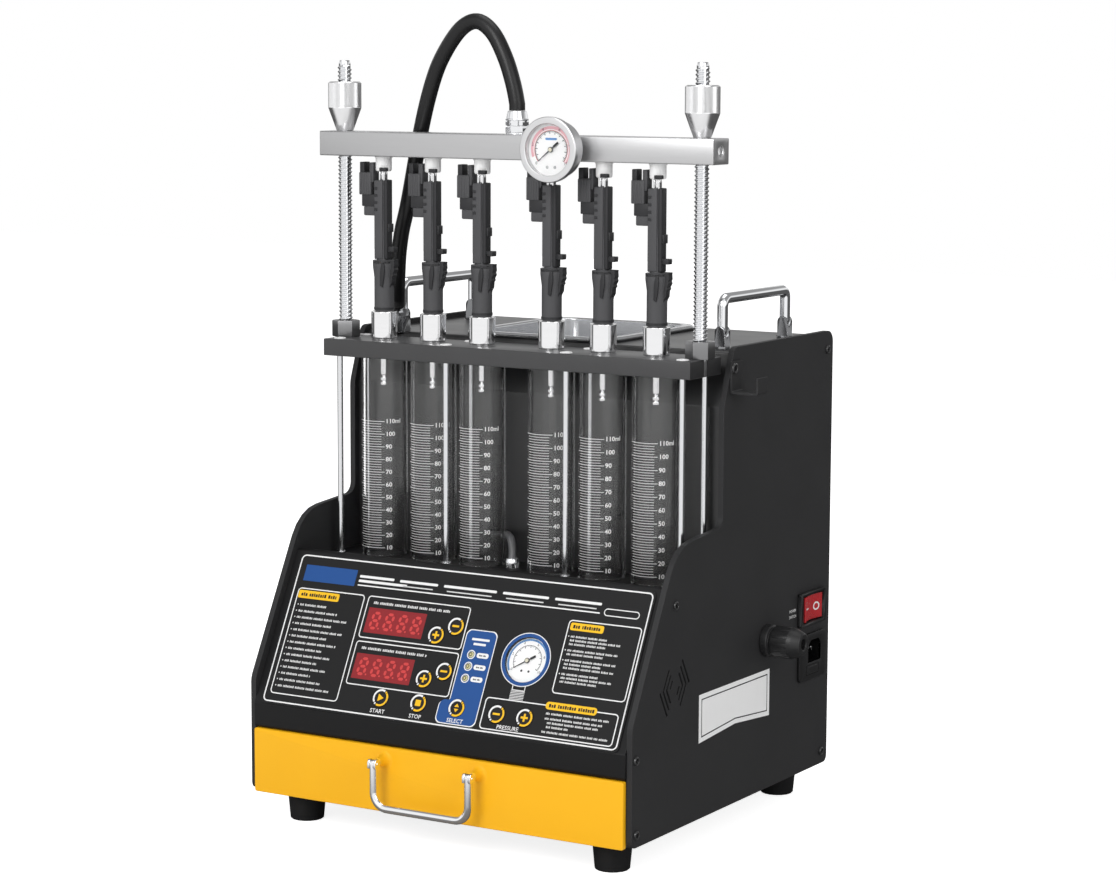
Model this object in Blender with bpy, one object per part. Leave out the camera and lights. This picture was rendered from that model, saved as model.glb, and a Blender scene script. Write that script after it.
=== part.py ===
# Fuel injector cleaner and tester: case, control panel, tube bay, fuel rail, bath and drawer.
# Drawn in machine coordinates: X across from the middle, Y from the drawer's face to the back,
# Z up from the floor. The machine empty then puts the origin under the middle of the whole object.

import math

import bmesh
import bpy
from mathutils import Matrix, Vector

MM = 0.001

# Clearances shared by all pieces
FIT = 0.3 * MM
CUT = 3.0 * MM
SINK = 1.0 * MM
ARC_SAG = 0.08 * MM
FINE_STEP = math.radians(15.0)
COARSE_STEP = math.radians(30.0)
SHARP = math.radians(32.0)
ROUND_SIDES = 24
MEDIUM_SIDES = 16
SMALL_SIDES = 12
PIN_SIDES = 8

# Side plates
PLATE_T = 5.0 * MM
PLATE_OUTER_X = 186.1 * MM
PLATE_INNER_X = PLATE_OUTER_X - PLATE_T
PLATE_FRONT_Y = 4.2 * MM
PLATE_BACK_Y = 354.2 * MM
PLATE_BOTTOM_Z = 27.3 * MM
PLATE_TOP_Z = 411.6 * MM
PLATE_BEND_Z = 124.0 * MM
PLATE_BEND_R = 15.0 * MM
PLATE_FOOT_R = 6.0 * MM
PLATE_HEAD_R = 10.0 * MM
PLATE_BROW_R = 8.0 * MM
PLATE_BROW_Y = 169.5 * MM
PLATE_LEAN_Z = 363.0 * MM
PLATE_LEAN_R = 25.0 * MM
PLATE_BAY_Y = 152.2 * MM
PLATE_BAY_Z = 264.9 * MM
PLATE_BAY_R = 10.0 * MM
PLATE_SHOULDER_Y = 75.2 * MM
PLATE_SHOULDER_Z = 258.7 * MM
PLATE_SHOULDER_R = 44.0 * MM

# Pinwheel vent in each side plate
VENT_Y = 72.8 * MM
VENT_Z = 145.0 * MM
VENT_R = 24.4 * MM
VENT_PITCH = 5.6 * MM
VENT_SLOT = 2.4 * MM
VENT_RINGS = 4

# Sheet metal
SHEET_T = 2.0 * MM
SHEET_HALF_X = PLATE_INNER_X - FIT
RECESS = 5.7 * MM

# Feet
FOOT_H = 27.0 * MM
FOOT_TOP_R = 17.0 * MM
FOOT_BOTTOM_R = 14.5 * MM
FOOT_SCREW_R = 4.5 * MM
FOOT_SCREW_DEPTH = 12.0 * MM
FOOT_INSET = 30.3 * MM
FOOT_X = PLATE_INNER_X - FOOT_INSET
FOOT_FRONT_Y = 35.5 * MM
FOOT_BACK_Y = 327.4 * MM

# Drawer
FRONT_SIDE_GAP = 0.7 * MM
FRONT_HALF_X = PLATE_INNER_X - FRONT_SIDE_GAP
FRONT_BOTTOM_Z = 26.6 * MM
FRONT_TOP_Z = 81.8 * MM
FRONT_T = 5.0 * MM
FRONT_EDGE_R = 2.0 * MM
BOX_INSET = 4.4 * MM
BOX_HALF_X = FRONT_HALF_X - BOX_INSET
BOX_LENGTH = 250.0 * MM
BOX_H = 46.0 * MM
BOX_T = 1.5 * MM

# Forked joints of the drawer handle and the carrying handles
FORK_R = 4.8 * MM
FORK_SLOT = 4.2 * MM
TONGUE_R = 4.3 * MM
TONGUE_T = 3.6 * MM
TONGUE_REACH = 5.6 * MM
PIN_R = 1.5 * MM
PIN_FIT = 0.3 * MM

# Drawer handle
BAIL_HALF_X = 46.2 * MM
BAIL_STANDOFF = 16.0 * MM
BAIL_PIVOT_Z = 71.0 * MM
BAIL_DROP = 36.0 * MM
BAIL_R = 3.0 * MM
BAIL_BEND_R = 13.0 * MM
BAIL_FLANGE_R = 7.5 * MM
BAIL_FLANGE_T = 2.5 * MM

# Bottom pan and inner deck
PAN_Z = PLATE_BOTTOM_Z
PAN_FRONT_Y = 6.0 * MM
PAN_WALL_TOP_Z = 81.0 * MM
DECK_GAP = FIT
INSIDE_BACK_Y = PLATE_BACK_Y - RECESS - SHEET_T - FIT

# Folded front panel: fascia, slope, lip and tube tray
FASCIA_Y = 2.0 * MM
FASCIA_BOTTOM_Z = 82.1 * MM
FASCIA_FLANGE = 12.0 * MM
FASCIA_R = 3.0 * MM
SLOPE = math.radians(62.75)
PANEL_Y = 2.3 * MM
PANEL_Z = 106.4 * MM
LIP_Y = 72.0 * MM
LIP_R = 4.0 * MM
TRAY_Z = 217.0 * MM
TRAY_R = 3.0 * MM
WALL_Y = 158.0 * MM

# Panel overlay, in panel coordinates: x across, s up the slope from the border's lower edge, n outward
BORDER_INSET = 8.9 * MM
BORDER_HALF_X = PLATE_INNER_X - BORDER_INSET
BORDER_S = 130.15 * MM
OVERLAY_MARGIN = 2.3 * MM
OVERLAY_T = 0.8 * MM
SHEET_N = -(OVERLAY_T + FIT)
OVERLAY_R = 5.0 * MM

# Keys
KEY_R = 7.9 * MM
KEY_FIT = 0.35 * MM
KEY_RISE = 0.4 * MM
KEY_FLANGE_R = 9.0 * MM
KEY_FLANGE_T = 0.8 * MM
KEY_WELL_R = 9.6 * MM
KEY_TRAVEL = 0.6 * MM
KEY_PLACE_SHARES = {
    "key_plus_upper": (-0.1115, 0.571),
    "key_minus_upper": (-0.0135, 0.644),
    "key_plus_lower": (-0.1155, 0.280),
    "key_minus_lower": (-0.0145, 0.3435),
    "key_start": (-0.3275, 0.120),
    "key_stop": (-0.1105, 0.120),
    "key_select": (0.1070, 0.122),
    "key_pressure_minus": (0.3310, 0.119),
    "key_pressure_plus": (0.4850, 0.120),
}

# Display windows
WINDOW_HALF_X = 28.8 * MM
WINDOW_HALF_S = 10.8 * MM
WINDOW_X_SHARE = -0.360
WINDOW_S_SHARES = (0.308, 0.616)

# Indicator lights
LED_R = 2.6 * MM
LED_DOME = 0.7 * MM
LED_FIT = 0.4 * MM
LED_X_SHARE = 0.1105
LED_S_SHARES = (0.3185, 0.397, 0.475)

# Pressure dial in the panel
DIAL_X_SHARE = 0.4128
DIAL_S_SHARE = 0.4865
DIAL_R = 18.8 * MM
DIAL_WALL = 5.0 * MM
DIAL_DEPTH = 5.6 * MM
DIAL_CASE_DEPTH = 22.0 * MM
DIAL_ZERO = math.radians(213.0)

# Pointers of both gauges
POINTER_HUB_R = 2.4 * MM
POINTER_T = 1.0 * MM
POINTER_TIP_SHARE = 0.80
POINTER_TAIL_SHARE = 0.48
POINTER_WIDE = 2.4 * MM
POINTER_NARROW = 0.9 * MM

# Control board behind the panel
BOARD_N = -12.0 * MM
BOARD_T = 1.6 * MM
BOARD_LEFT_X = 98.0 * MM
BOARD_RIGHT_X = 44.0 * MM
BOARD_LOW_S = 6.0 * MM
BOARD_HIGH_S = 98.0 * MM
BOARD_POST_R = 3.0 * MM
BOARD_POST_INSET = 5.0 * MM
SWITCH_SIDE = 6.0 * MM

# Measuring tubes and what carries them
TUBE_Y = 130.6 * MM
TUBE_R = 20.0 * MM
TUBE_BORE_R = 17.0 * MM
SOCKET_PLATE_GAP = 1.0 * MM
SOCKET_PLATE_HALF_X = PLATE_INNER_X - SOCKET_PLATE_GAP
TUBE_X_SHARES = (0.19045, 0.46641, 0.74681)
TUBE_X_OFFSETS = tuple(share * SOCKET_PLATE_HALF_X for share in TUBE_X_SHARES)
SOCKET_PLATE_FRONT_Y = 104.0 * MM
SOCKET_PLATE_BACK_Y = 157.4 * MM
SOCKET_PLATE_Z = 390.2 * MM
SOCKET_PLATE_T = 14.6 * MM
SOCKET_PLATE_EDGE_R = 0.8 * MM
SUPPORT_R = 2.5 * MM
SUPPORT_INSET = 11.4 * MM
SUPPORT_X_SHARE = 0.3287
SUPPORT_X_OFFSETS = (SUPPORT_X_SHARE * SOCKET_PLATE_HALF_X, SOCKET_PLATE_HALF_X - SUPPORT_INSET)
SUPPORT_FRONT_Y = 112.7 * MM
SUPPORT_BACK_Y = 150.8 * MM

# Injector sockets and nozzles
SOCKET_R = 11.25 * MM
SOCKET_H = 24.1 * MM
SOCKET_BORE_R = 5.4 * MM
SOCKET_BORE_DEPTH = 15.0 * MM
SOCKET_STEM_R = 6.0 * MM
SOCKET_EDGE_R = 1.0 * MM
SOCKET_BOSS_H = 2.5 * MM
NOZZLE_R = 3.6 * MM
NOZZLE_REACH = 34.0 * MM
NOZZLE_NECK_R = 2.6 * MM
NOZZLE_TIP_H = 6.0 * MM

# Threaded rods and lock nuts
ROD_R = 6.0 * MM
ROD_INSET = 5.3 * MM
ROD_X = SOCKET_PLATE_HALF_X - ROD_INSET
ROD_REACH = 60.6 * MM
ROD_FIT = 0.3 * MM
LOCK_NUT_FLAT = 21.0 * MM
LOCK_NUT_H = 14.6 * MM

# Fuel rail
RAIL_OVERHANG = 17.2 * MM
RAIL_HALF_X = ROD_X + RAIL_OVERHANG
RAIL_FRONT_Y = 117.2 * MM
RAIL_BACK_Y = 143.7 * MM
RAIL_H = 21.0 * MM
RAIL_EDGE_R = 1.0 * MM
RAIL_PORT_R = 5.0 * MM
RAIL_PORT_DEPTH = 8.0 * MM
RAIL_HOLE_FIT = 0.5 * MM

# Knurled nuts
KNURL_TIP_R = 7.2 * MM
KNURL_R = 14.25 * MM
KNURL_CONE_H = 19.4 * MM
KNURL_H = 22.5 * MM
KNURL_EDGE = 0.8 * MM

# Couplers under the rail and injectors below them
COUPLER_R = 6.9 * MM
COUPLER_H = 12.8 * MM
COUPLER_BORE_R = 4.0 * MM
COUPLER_GAP = 7.1 * MM
INJECTOR_TIP_R = 4.6 * MM
INJECTOR_TIP_REACH = 11.0 * MM
INJECTOR_SLEEVE_R = 8.5 * MM
INJECTOR_FLARE_R = 9.7 * MM
INJECTOR_FLARE_H = 29.0 * MM
INJECTOR_SLEEVE_H = 43.7 * MM
INJECTOR_SHAFT_R = 5.9 * MM
INJECTOR_SHAFT_H = 112.7 * MM
INJECTOR_HEAD_R = 3.2 * MM
INJECTOR_NECK_H = 12.3 * MM
INJECTOR_HEAD_H = INJECTOR_SHAFT_H + INJECTOR_NECK_H
PLUG_DEEP = 12.0 * MM
PLUG_OUTLINE = (
    (-5.0, -31.0), (-5.0, 2.3), (-7.8, 2.3), (-7.8, 14.5), (-11.9, 14.5), (-11.9, 6.0), (-17.3, 6.0),
    (-17.3, 14.8), (-21.9, 14.8), (-21.9, -13.2), (-19.6, -13.2), (-19.6, -23.1), (-18.1, -23.1), (-18.1, -31.0),
)
LATCH_DEEP = 7.0 * MM
LATCH_OUTLINE = ((5.0, 16.0), (8.4, 18.0), (11.6, 30.7), (12.7, 38.0), (12.7, 44.5), (5.0, 44.5))
UPPER_TAB_OUTLINE = ((4.0, 24.1), (7.9, 24.1), (7.9, 31.4), (4.0, 31.4))
LOWER_TAB_OUTLINE = ((4.0, 7.3), (12.1, 7.3), (12.1, 11.7), (4.0, 11.7))

# Rail gauge
GAUGE_X = 53.7 * MM
GAUGE_RISE = 10.2 * MM
GAUGE_CASE_R = 23.5 * MM
GAUGE_BEZEL_R = 26.8 * MM
GAUGE_BEZEL_H = 7.0 * MM
GAUGE_GLASS_R = 21.0 * MM
GAUGE_DEPTH = 18.0 * MM
GAUGE_STANDOFF = 8.5 * MM
GAUGE_STEM_R = 7.0 * MM
GAUGE_WELL = 7.0 * MM
GAUGE_LENS_T = 1.2 * MM
GAUGE_LENS_SINK = 1.2 * MM
GAUGE_EDGE_R = 1.4 * MM
GAUGE_ZERO = math.radians(219.0)

# Hose and its two fittings
HOSE_R = 6.75 * MM
HOSE_SIDES = 3
FITTING_FLAT = 19.3 * MM
FITTING_HEX_H = 13.5 * MM
FITTING_CONE_H = 6.0 * MM
FITTING_CONE_R = 8.4 * MM
HOSE_FOOT_INSET = 28.1 * MM
HOSE_FOOT_X = PLATE_INNER_X - HOSE_FOOT_INSET
HOSE_FOOT_Y = 178.0 * MM
HOSE_ROUTE = (
    (0.0, 0.0, 0.0),
    (0.0, 0.0, 5.0),
    (-4.2, 0.2, 22.5),
    (-12.6, 0.9, 44.0),
    (-25.6, 2.4, 64.0),
    (-42.2, 4.4, 73.5),
    (-60.5, 7.0, 67.0),
    (-80.0, 10.4, 45.5),
    (-94.4, 15.0, 21.5),
    (-110.4, 22.2, -17.0),
    (-128.0, 28.4, -79.0),
    (-138.0, 32.8, -106.0),
    (-143.6, 36.2, -127.0),
    (-149.4, 42.6, -152.0),
    (-153.0, 47.4, -169.0),
    (-153.0, 47.4, -175.2),
)

# Back wall, top cover and back panel
COVER_Z = 407.3 * MM
BROW_Y = 173.7 * MM
BROW_R = 4.0 * MM
LEAN_Z = 363.0 * MM
WALL_FOOT_Z = 196.0 * MM
WALL_R = 3.0 * MM
LOUVRE_COUNT = 9
LOUVRE_W = 4.0 * MM
LOUVRE_PITCH = 10.0 * MM
LOUVRE_H = 46.0 * MM
LOUVRE_X = 95.0 * MM
LOUVRE_Z = 225.0 * MM

# Ultrasonic bath and transducers
BATH_X = -11.0 * MM
BATH_Y = 257.5 * MM
BATH_RIM_HALF_X = 75.5 * MM
BATH_RIM_HALF_Y = 82.5 * MM
BATH_RIM_H = 3.9 * MM
BATH_RIM_W = 7.5 * MM
BATH_RIM_ROLL = 1.6 * MM
BATH_DEPTH = 104.0 * MM
BATH_T = 1.2 * MM
BATH_CORNER_R = 20.0 * MM
BATH_TAPER = 3.0 * MM
TRANSDUCER_R = 22.0 * MM
TRANSDUCER_NECK_R = 14.0 * MM
TRANSDUCER_H = 12.0 * MM
TRANSDUCER_NECK_H = 34.0 * MM
TRANSDUCER_SPREAD = 34.0 * MM

# Carrying handles
CARRY_INSET = 21.1 * MM
CARRY_X = PLATE_INNER_X - CARRY_INSET
CARRY_FRONT_Y = 197.0 * MM
CARRY_BACK_Y = 312.0 * MM
CARRY_R = 4.5 * MM
CARRY_PIVOT_H = 13.7 * MM
CARRY_TOP_Z = 453.0 * MM
CARRY_BEND_R = 7.0 * MM
CARRY_FLANGE_R = 7.0 * MM
CARRY_FLANGE_T = 1.6 * MM

# Rocker switch
SWITCH_Y = 316.5 * MM
SWITCH_Z = 172.0 * MM
SWITCH_HALF_Y = 24.5 * MM
SWITCH_HALF_Z = 14.8 * MM
SWITCH_RISE = 3.5 * MM
SWITCH_BODY_HALF_Y = 20.5 * MM
SWITCH_BODY_HALF_Z = 13.2 * MM
SWITCH_BODY_DEPTH = 22.0 * MM
SWITCH_CORNER_R = 2.0 * MM
ROCKER_HALF_Y = 18.2 * MM
ROCKER_HALF_Z = 11.0 * MM
ROCKER_FIT = 1.1 * MM
ROCKER_R = 21.0 * MM
ROCKER_PIVOT_DEPTH = 8.0 * MM
ROCKER_TILT = math.radians(8.0)
ROCKER_SAG = 2.2 * MM
ROCKER_WELL = 15.0 * MM

# Mains inlet with its fuse drawer
INLET_Y = 318.5 * MM
INLET_Z = 128.7 * MM
INLET_HALF_Y = 25.5 * MM
INLET_HALF_Z = 20.3 * MM
INLET_RISE = 2.5 * MM
INLET_CORNER_R = 4.0 * MM
INLET_CAVITY_Y = 322.3 * MM
INLET_CAVITY_Z = 133.2 * MM
INLET_CAVITY_HALF_Y = 12.6 * MM
INLET_CAVITY_HALF_Z = 9.8 * MM
INLET_CAVITY_DEPTH = 17.0 * MM
INLET_CAVITY_CUT = 5.0 * MM
INLET_BODY_HALF_Y = 16.5 * MM
INLET_BODY_HALF_Z = 16.5 * MM
INLET_BODY_DEPTH = 24.0 * MM
INLET_PIN_LONG = 11.0 * MM
INLET_PIN_HALF_Y = 1.0 * MM
INLET_PIN_HALF_Z = 2.0 * MM
INLET_PIN_SPREAD = 6.5 * MM
INLET_PIN_DROP = 2.0 * MM
FUSE_DROP = 16.0 * MM
FUSE_HALF_Y = 9.0 * MM
FUSE_HALF_Z = 2.6 * MM
FUSE_DEPTH = 1.2 * MM

# Cable gland
GLAND_Y = 233.0 * MM
GLAND_Z = 156.8 * MM
GLAND_REACH = 36.0 * MM
GLAND_R = 13.8 * MM
GLAND_HEX_H = 7.0 * MM
GLAND_GROOVE = 1.2 * MM
GLAND_CAP_H = 20.0 * MM
GLAND_END_R = 9.5 * MM
GLAND_BORE_R = 4.6 * MM
GLAND_STEM_R = 9.6 * MM
GLAND_STEM_DEPTH = 12.0 * MM

# Hanging hook
HOOK_Y = 170.2 * MM
HOOK_HALF_W = 9.0 * MM
HOOK_DROP = 11.1 * MM
HOOK_H = 26.5 * MM
HOOK_TOP_Z = PLATE_TOP_Z - HOOK_DROP
HOOK_SHELF_Z = HOOK_TOP_Z - HOOK_H
HOOK_REACH = 26.0 * MM
HOOK_LIP_H = 14.0 * MM
HOOK_T = 1.8 * MM
HOOK_R = 2.5 * MM

# Drain elbow on the tray
ELBOW_X = -4.0 * MM
ELBOW_Y = 131.0 * MM
ELBOW_R = 3.3 * MM
ELBOW_FOOT_R = 5.8 * MM
ELBOW_FOOT_H = 8.0 * MM
ELBOW_FOOT_EDGE = 1.0 * MM
ELBOW_ROUTE = (
    (0.0, 0.0, 0.0),
    (-0.2, 0.4, 5.0),
    (-3.2, 4.4, 12.0),
    (-11.0, 13.8, 16.0),
    (-20.0, 21.4, 16.6),
    (-28.5, 23.3, 15.8),
    (-34.5, 25.8, 15.0),
    (-37.5, 31.0, 14.6),
)

# Pieces on the inner deck
TANK_LEFT_X = 172.0 * MM
TANK_RIGHT_X = 22.0 * MM
TANK_FRONT_Y = 68.0 * MM
TANK_BACK_Y = 150.0 * MM
TANK_H = 88.0 * MM
TANK_CORNER_R = 8.0 * MM
TANK_CAP_R = 14.0 * MM
TANK_CAP_H = 9.0 * MM
SUPPLY_HALF_X = 54.0 * MM
SUPPLY_FRONT_Y = 205.0 * MM
SUPPLY_BACK_Y = 318.0 * MM
SUPPLY_H = 42.0 * MM
SUPPLY_SLOT_COUNT = 7
SUPPLY_SLOT_W = 3.0 * MM
SUPPLY_SLOT_PITCH = 12.0 * MM
SUPPLY_SLOT_DEPTH = 1.5 * MM
PUMP_X = 85.0 * MM
PUMP_Y = 110.0 * MM
PUMP_R = 22.0 * MM
PUMP_L = 52.0 * MM
PUMP_HEAD_R = 27.0 * MM
PUMP_HEAD_L = 18.0 * MM
PUMP_FOOT_T = 4.0 * MM
PUMP_FOOT_HALF_X = 20.0 * MM

# Colour, roughness and metallic value of each finish
FINISHES = {
    "black_coat": ((0.030, 0.030, 0.032), 0.50, 0.0),
    "plate_coat": ((0.075, 0.075, 0.078), 0.55, 0.0),
    "zinc": ((0.60, 0.61, 0.62), 0.40, 1.0),
    "rubber": ((0.020, 0.020, 0.021), 0.75, 0.0),
    "yellow": ((0.95, 0.48, 0.025), 0.28, 0.0),
    "chrome": ((0.80, 0.81, 0.83), 0.10, 1.0),
    "overlay": ((0.035, 0.035, 0.037), 0.45, 0.0),
    "key": ((0.90, 0.55, 0.05), 0.40, 0.0),
    "dial": ((0.85, 0.86, 0.86), 0.45, 0.0),
    "pointer": ((0.02, 0.02, 0.02), 0.40, 0.0),
    "glass": ((0.82, 0.86, 0.86), 0.05, 0.0),
    "aluminium": ((0.66, 0.67, 0.68), 0.35, 1.0),
    "steel": ((0.70, 0.71, 0.72), 0.25, 1.0),
    "dark_plastic": ((0.060, 0.061, 0.064), 0.50, 0.0),
    "red": ((0.72, 0.03, 0.04), 0.30, 0.0),
    "board": ((0.02, 0.16, 0.08), 0.45, 0.0),
    "tank": ((0.62, 0.66, 0.66), 0.45, 0.0),
    "hose": ((0.022, 0.022, 0.023), 0.55, 0.0),
}

# Turns that lay the Z axis along X or along Y
ALONG_X = Matrix.Rotation(math.pi / 2, 4, "Y")
ALONG_Y = Matrix.Rotation(-math.pi / 2, 4, "X")

# Reach of the whole object, which places its origin
REACH_LEFT = RAIL_HALF_X
REACH_RIGHT = PLATE_OUTER_X + GLAND_REACH
REACH_FRONT = BAIL_STANDOFF + FORK_R
MIDDLE_X = (REACH_RIGHT - REACH_LEFT) / 2
MIDDLE_Y = (PLATE_BACK_Y - REACH_FRONT) / 2

# Levels and places worked out from the sizes above
DECK_Z = FASCIA_BOTTOM_Z + SHEET_T + DECK_GAP
DECK_TOP_Z = DECK_Z + SHEET_T
DECK_SEAT_Z = DECK_TOP_Z + FIT
COVER_UNDER_Z = COVER_Z - SHEET_T
COVER_SEAT_Z = COVER_Z + FIT
SOCKET_TOP_Z = SOCKET_PLATE_Z + SOCKET_PLATE_T
SOCKET_HEAD_Z = SOCKET_TOP_Z + SOCKET_H
INJECTOR_Z = SOCKET_HEAD_Z + FIT
COUPLER_Z = INJECTOR_Z + INJECTOR_SHAFT_H + COUPLER_GAP
RAIL_Z = COUPLER_Z + COUPLER_H
RAIL_TOP_Z = RAIL_Z + RAIL_H
ROD_TOP_Z = RAIL_TOP_Z + ROD_REACH
GAUGE_Z = RAIL_Z + GAUGE_RISE
TUBE_XS = tuple(-x for x in reversed(TUBE_X_OFFSETS)) + TUBE_X_OFFSETS
PANEL_FRAME = Matrix((
    (1.0, 0.0, 0.0, 0.0),
    (0.0, math.cos(SLOPE), -math.sin(SLOPE), PANEL_Y),
    (0.0, math.sin(SLOPE), math.cos(SLOPE), PANEL_Z),
    (0.0, 0.0, 0.0, 1.0),
))

for old in list(bpy.data.objects):
    bpy.data.objects.remove(old, do_unlink=True)

machine = bpy.data.objects.new("machine", None)
machine.location = (-MIDDLE_X, -MIDDLE_Y, 0.0)
bpy.context.scene.collection.objects.link(machine)


# Drawing helpers

def finish_material(name, finish):
    colour, roughness, metallic = FINISHES[finish]
    material = bpy.data.materials.new(name)
    material.use_nodes = True
    shader = material.node_tree.nodes["Principled BSDF"]
    shader.inputs["Base Color"].default_value = (*colour, 1.0)
    shader.inputs["Roughness"].default_value = roughness
    shader.inputs["Metallic"].default_value = metallic
    material.diffuse_color = (*colour, 1.0)
    return material


def piece(name, shape, finish, pivot=(0.0, 0.0, 0.0)):
    """An object from a shape drawn in machine coordinates, with its origin at the pivot."""
    bmesh.ops.recalc_face_normals(shape, faces=shape.faces)
    mesh = bpy.data.meshes.new(name)
    shape.to_mesh(mesh)
    shape.free()
    mesh.transform(Matrix.Translation(-Vector(pivot)))
    mesh.shade_smooth()
    mesh.set_sharp_from_angle(angle=SHARP)
    obj = bpy.data.objects.new(name, mesh)
    obj.location = pivot
    obj.parent = machine
    bpy.context.scene.collection.objects.link(obj)
    mesh.materials.append(finish_material(name, finish))
    return obj


def combine(obj, shape, operation, label):
    """A Boolean on the object with a shape that is itself left out of the model."""
    guide = piece("guide_" + label + "_" + obj.name, shape, "zinc", obj.location)
    guide.hide_render = True
    guide.display_type = "WIRE"
    step = obj.modifiers.new(label, "BOOLEAN")
    step.operation = operation
    step.solver = "EXACT"
    step.object = guide


def cut(obj, shape, label="cut"):
    combine(obj, shape, "DIFFERENCE", label)


def unite(obj, shape, label="join"):
    combine(obj, shape, "UNION", label)


def joined(*shapes):
    """One shape from several, each still a separate body."""
    total = bmesh.new()
    for shape in shapes:
        mesh = bpy.data.meshes.new("part_of_shape")
        shape.to_mesh(mesh)
        shape.free()
        total.from_mesh(mesh)
        bpy.data.meshes.remove(mesh)
    return total


def placed(shape, *turns):
    """The shape turned and moved by each matrix or (x, y, z) offset in order."""
    for turn in turns:
        matrix = turn if isinstance(turn, Matrix) else Matrix.Translation(turn)
        bmesh.ops.transform(shape, matrix=matrix, verts=shape.verts)
    return shape


def copies(make, places):
    """A shape made by a function of no arguments, repeated at each (x, y, z) place."""
    return joined(*(placed(make(), place) for place in places))


def rounded(corners, closed=True):
    """Outline points from corners (u, v, radius); an open path keeps its two ends as they are."""
    points = []
    last = len(corners) - 1
    for index, (u, v, radius) in enumerate(corners):
        here = Vector((u, v))
        if radius == 0.0 or (not closed and index in (0, last)):
            points.append(here)
            continue
        back = (Vector(corners[index - 1][:2]) - here).normalized()
        ahead = (Vector(corners[(index + 1) % (last + 1)][:2]) - here).normalized()
        half = back.angle(ahead) / 2
        centre = here + (back + ahead).normalized() * (radius / math.sin(half))
        arm = here + back * (radius / math.tan(half)) - centre
        turn = math.pi - 2 * half
        if back.x * ahead.y - back.y * ahead.x > 0:
            turn = -turn
        fine = min(COARSE_STEP, max(FINE_STEP, 2 * math.acos(max(0.0, 1 - ARC_SAG / radius))))
        steps = max(2, math.ceil(abs(turn) / fine))
        for step in range(steps + 1):
            angle = turn * step / steps
            across = Vector((-arm.y, arm.x))
            points.append(centre + arm * math.cos(angle) + across * math.sin(angle))
    return points


def box_outline(half_u, half_v, radius=0.0, centre=(0.0, 0.0)):
    u, v = centre
    corners = ((u - half_u, v - half_v), (u + half_u, v - half_v), (u + half_u, v + half_v), (u - half_u, v + half_v))
    return rounded([(*corner, radius) for corner in corners])


def hexagon(flat, turn=0.0):
    """Outline of a hexagon with the given size across its flats."""
    reach = flat / 2 / math.cos(math.pi / 6)
    angles = [turn + math.pi / 3 * side for side in range(6)]
    return [Vector((reach * math.cos(angle), reach * math.sin(angle))) for angle in angles]


def band(path, width):
    """Closed outline of a band of even width, centred on an open path."""
    left = offset_path(path, -width / 2)
    right = offset_path(path, width / 2)
    return left + right[::-1]


def offset_path(path, distance):
    """The open path moved to its right by a distance, with mitred corners."""
    moved = []
    for index, here in enumerate(path):
        ahead = path[min(index + 1, len(path) - 1)]
        behind = path[max(index - 1, 0)]
        into = (here - behind).normalized() if index else (ahead - here).normalized()
        out = (ahead - here).normalized() if index < len(path) - 1 else into
        normal = Vector((into.y + out.y, -into.x - out.x)).normalized()
        stretch = normal.dot(Vector((into.y, -into.x)))
        moved.append(here + normal * (distance / stretch))
    return moved


def sheet_outline(path, thickness=SHEET_T):
    """Closed outline of a folded sheet that lies to the right of its path."""
    return list(path) + offset_path(path, thickness)[::-1]


def prism(outline, start, end, axis="z"):
    """An outline extruded along an axis: x takes (y, z), y takes (x, z) and z takes (x, y)."""
    order = {"x": lambda u, v, w: (w, u, v), "y": lambda u, v, w: (u, w, v), "z": lambda u, v, w: (u, v, w)}[axis]
    shape = bmesh.new()
    face = shape.faces.new([shape.verts.new(order(u, v, start)) for u, v in outline])
    grown = bmesh.ops.extrude_face_region(shape, geom=[face])["geom"]
    verts = [item for item in grown if isinstance(item, bmesh.types.BMVert)]
    bmesh.ops.translate(shape, verts=verts, vec=order(0.0, 0.0, end - start))
    return shape


def turned(profile, sides=ROUND_SIDES, ring=False):
    """A profile of (radius, height) points spun round Z; a ring's profile closes on itself."""
    shape = bmesh.new()
    verts = [shape.verts.new((radius, 0.0, height)) for radius, height in profile]
    edges = [shape.edges.new(pair) for pair in zip(verts, verts[1:])]
    if ring:
        edges.append(shape.edges.new((verts[-1], verts[0])))
    bmesh.ops.spin(shape, geom=verts + edges, cent=(0.0, 0.0, 0.0), axis=(0.0, 0.0, 1.0),
                   angle=2 * math.pi, steps=sides, use_merge=True)
    bmesh.ops.remove_doubles(shape, verts=shape.verts, dist=FIT / 100)
    return shape


def cylinder(radius, start, end, sides=SMALL_SIDES):
    return turned([(0.0, start), (radius, start), (radius, end), (0.0, end)], sides)


def stacked(levels):
    """A closed shape through outlines of equal point counts, each at its height."""
    shape = bmesh.new()
    loops = [[shape.verts.new((u, v, height)) for u, v in outline] for outline, height in levels]
    for low, high in zip(loops, loops[1:]):
        for index in range(len(low)):
            shape.faces.new((low[index - 1], low[index], high[index], high[index - 1]))
    shape.faces.new(loops[0])
    shape.faces.new(loops[-1])
    return shape


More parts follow.
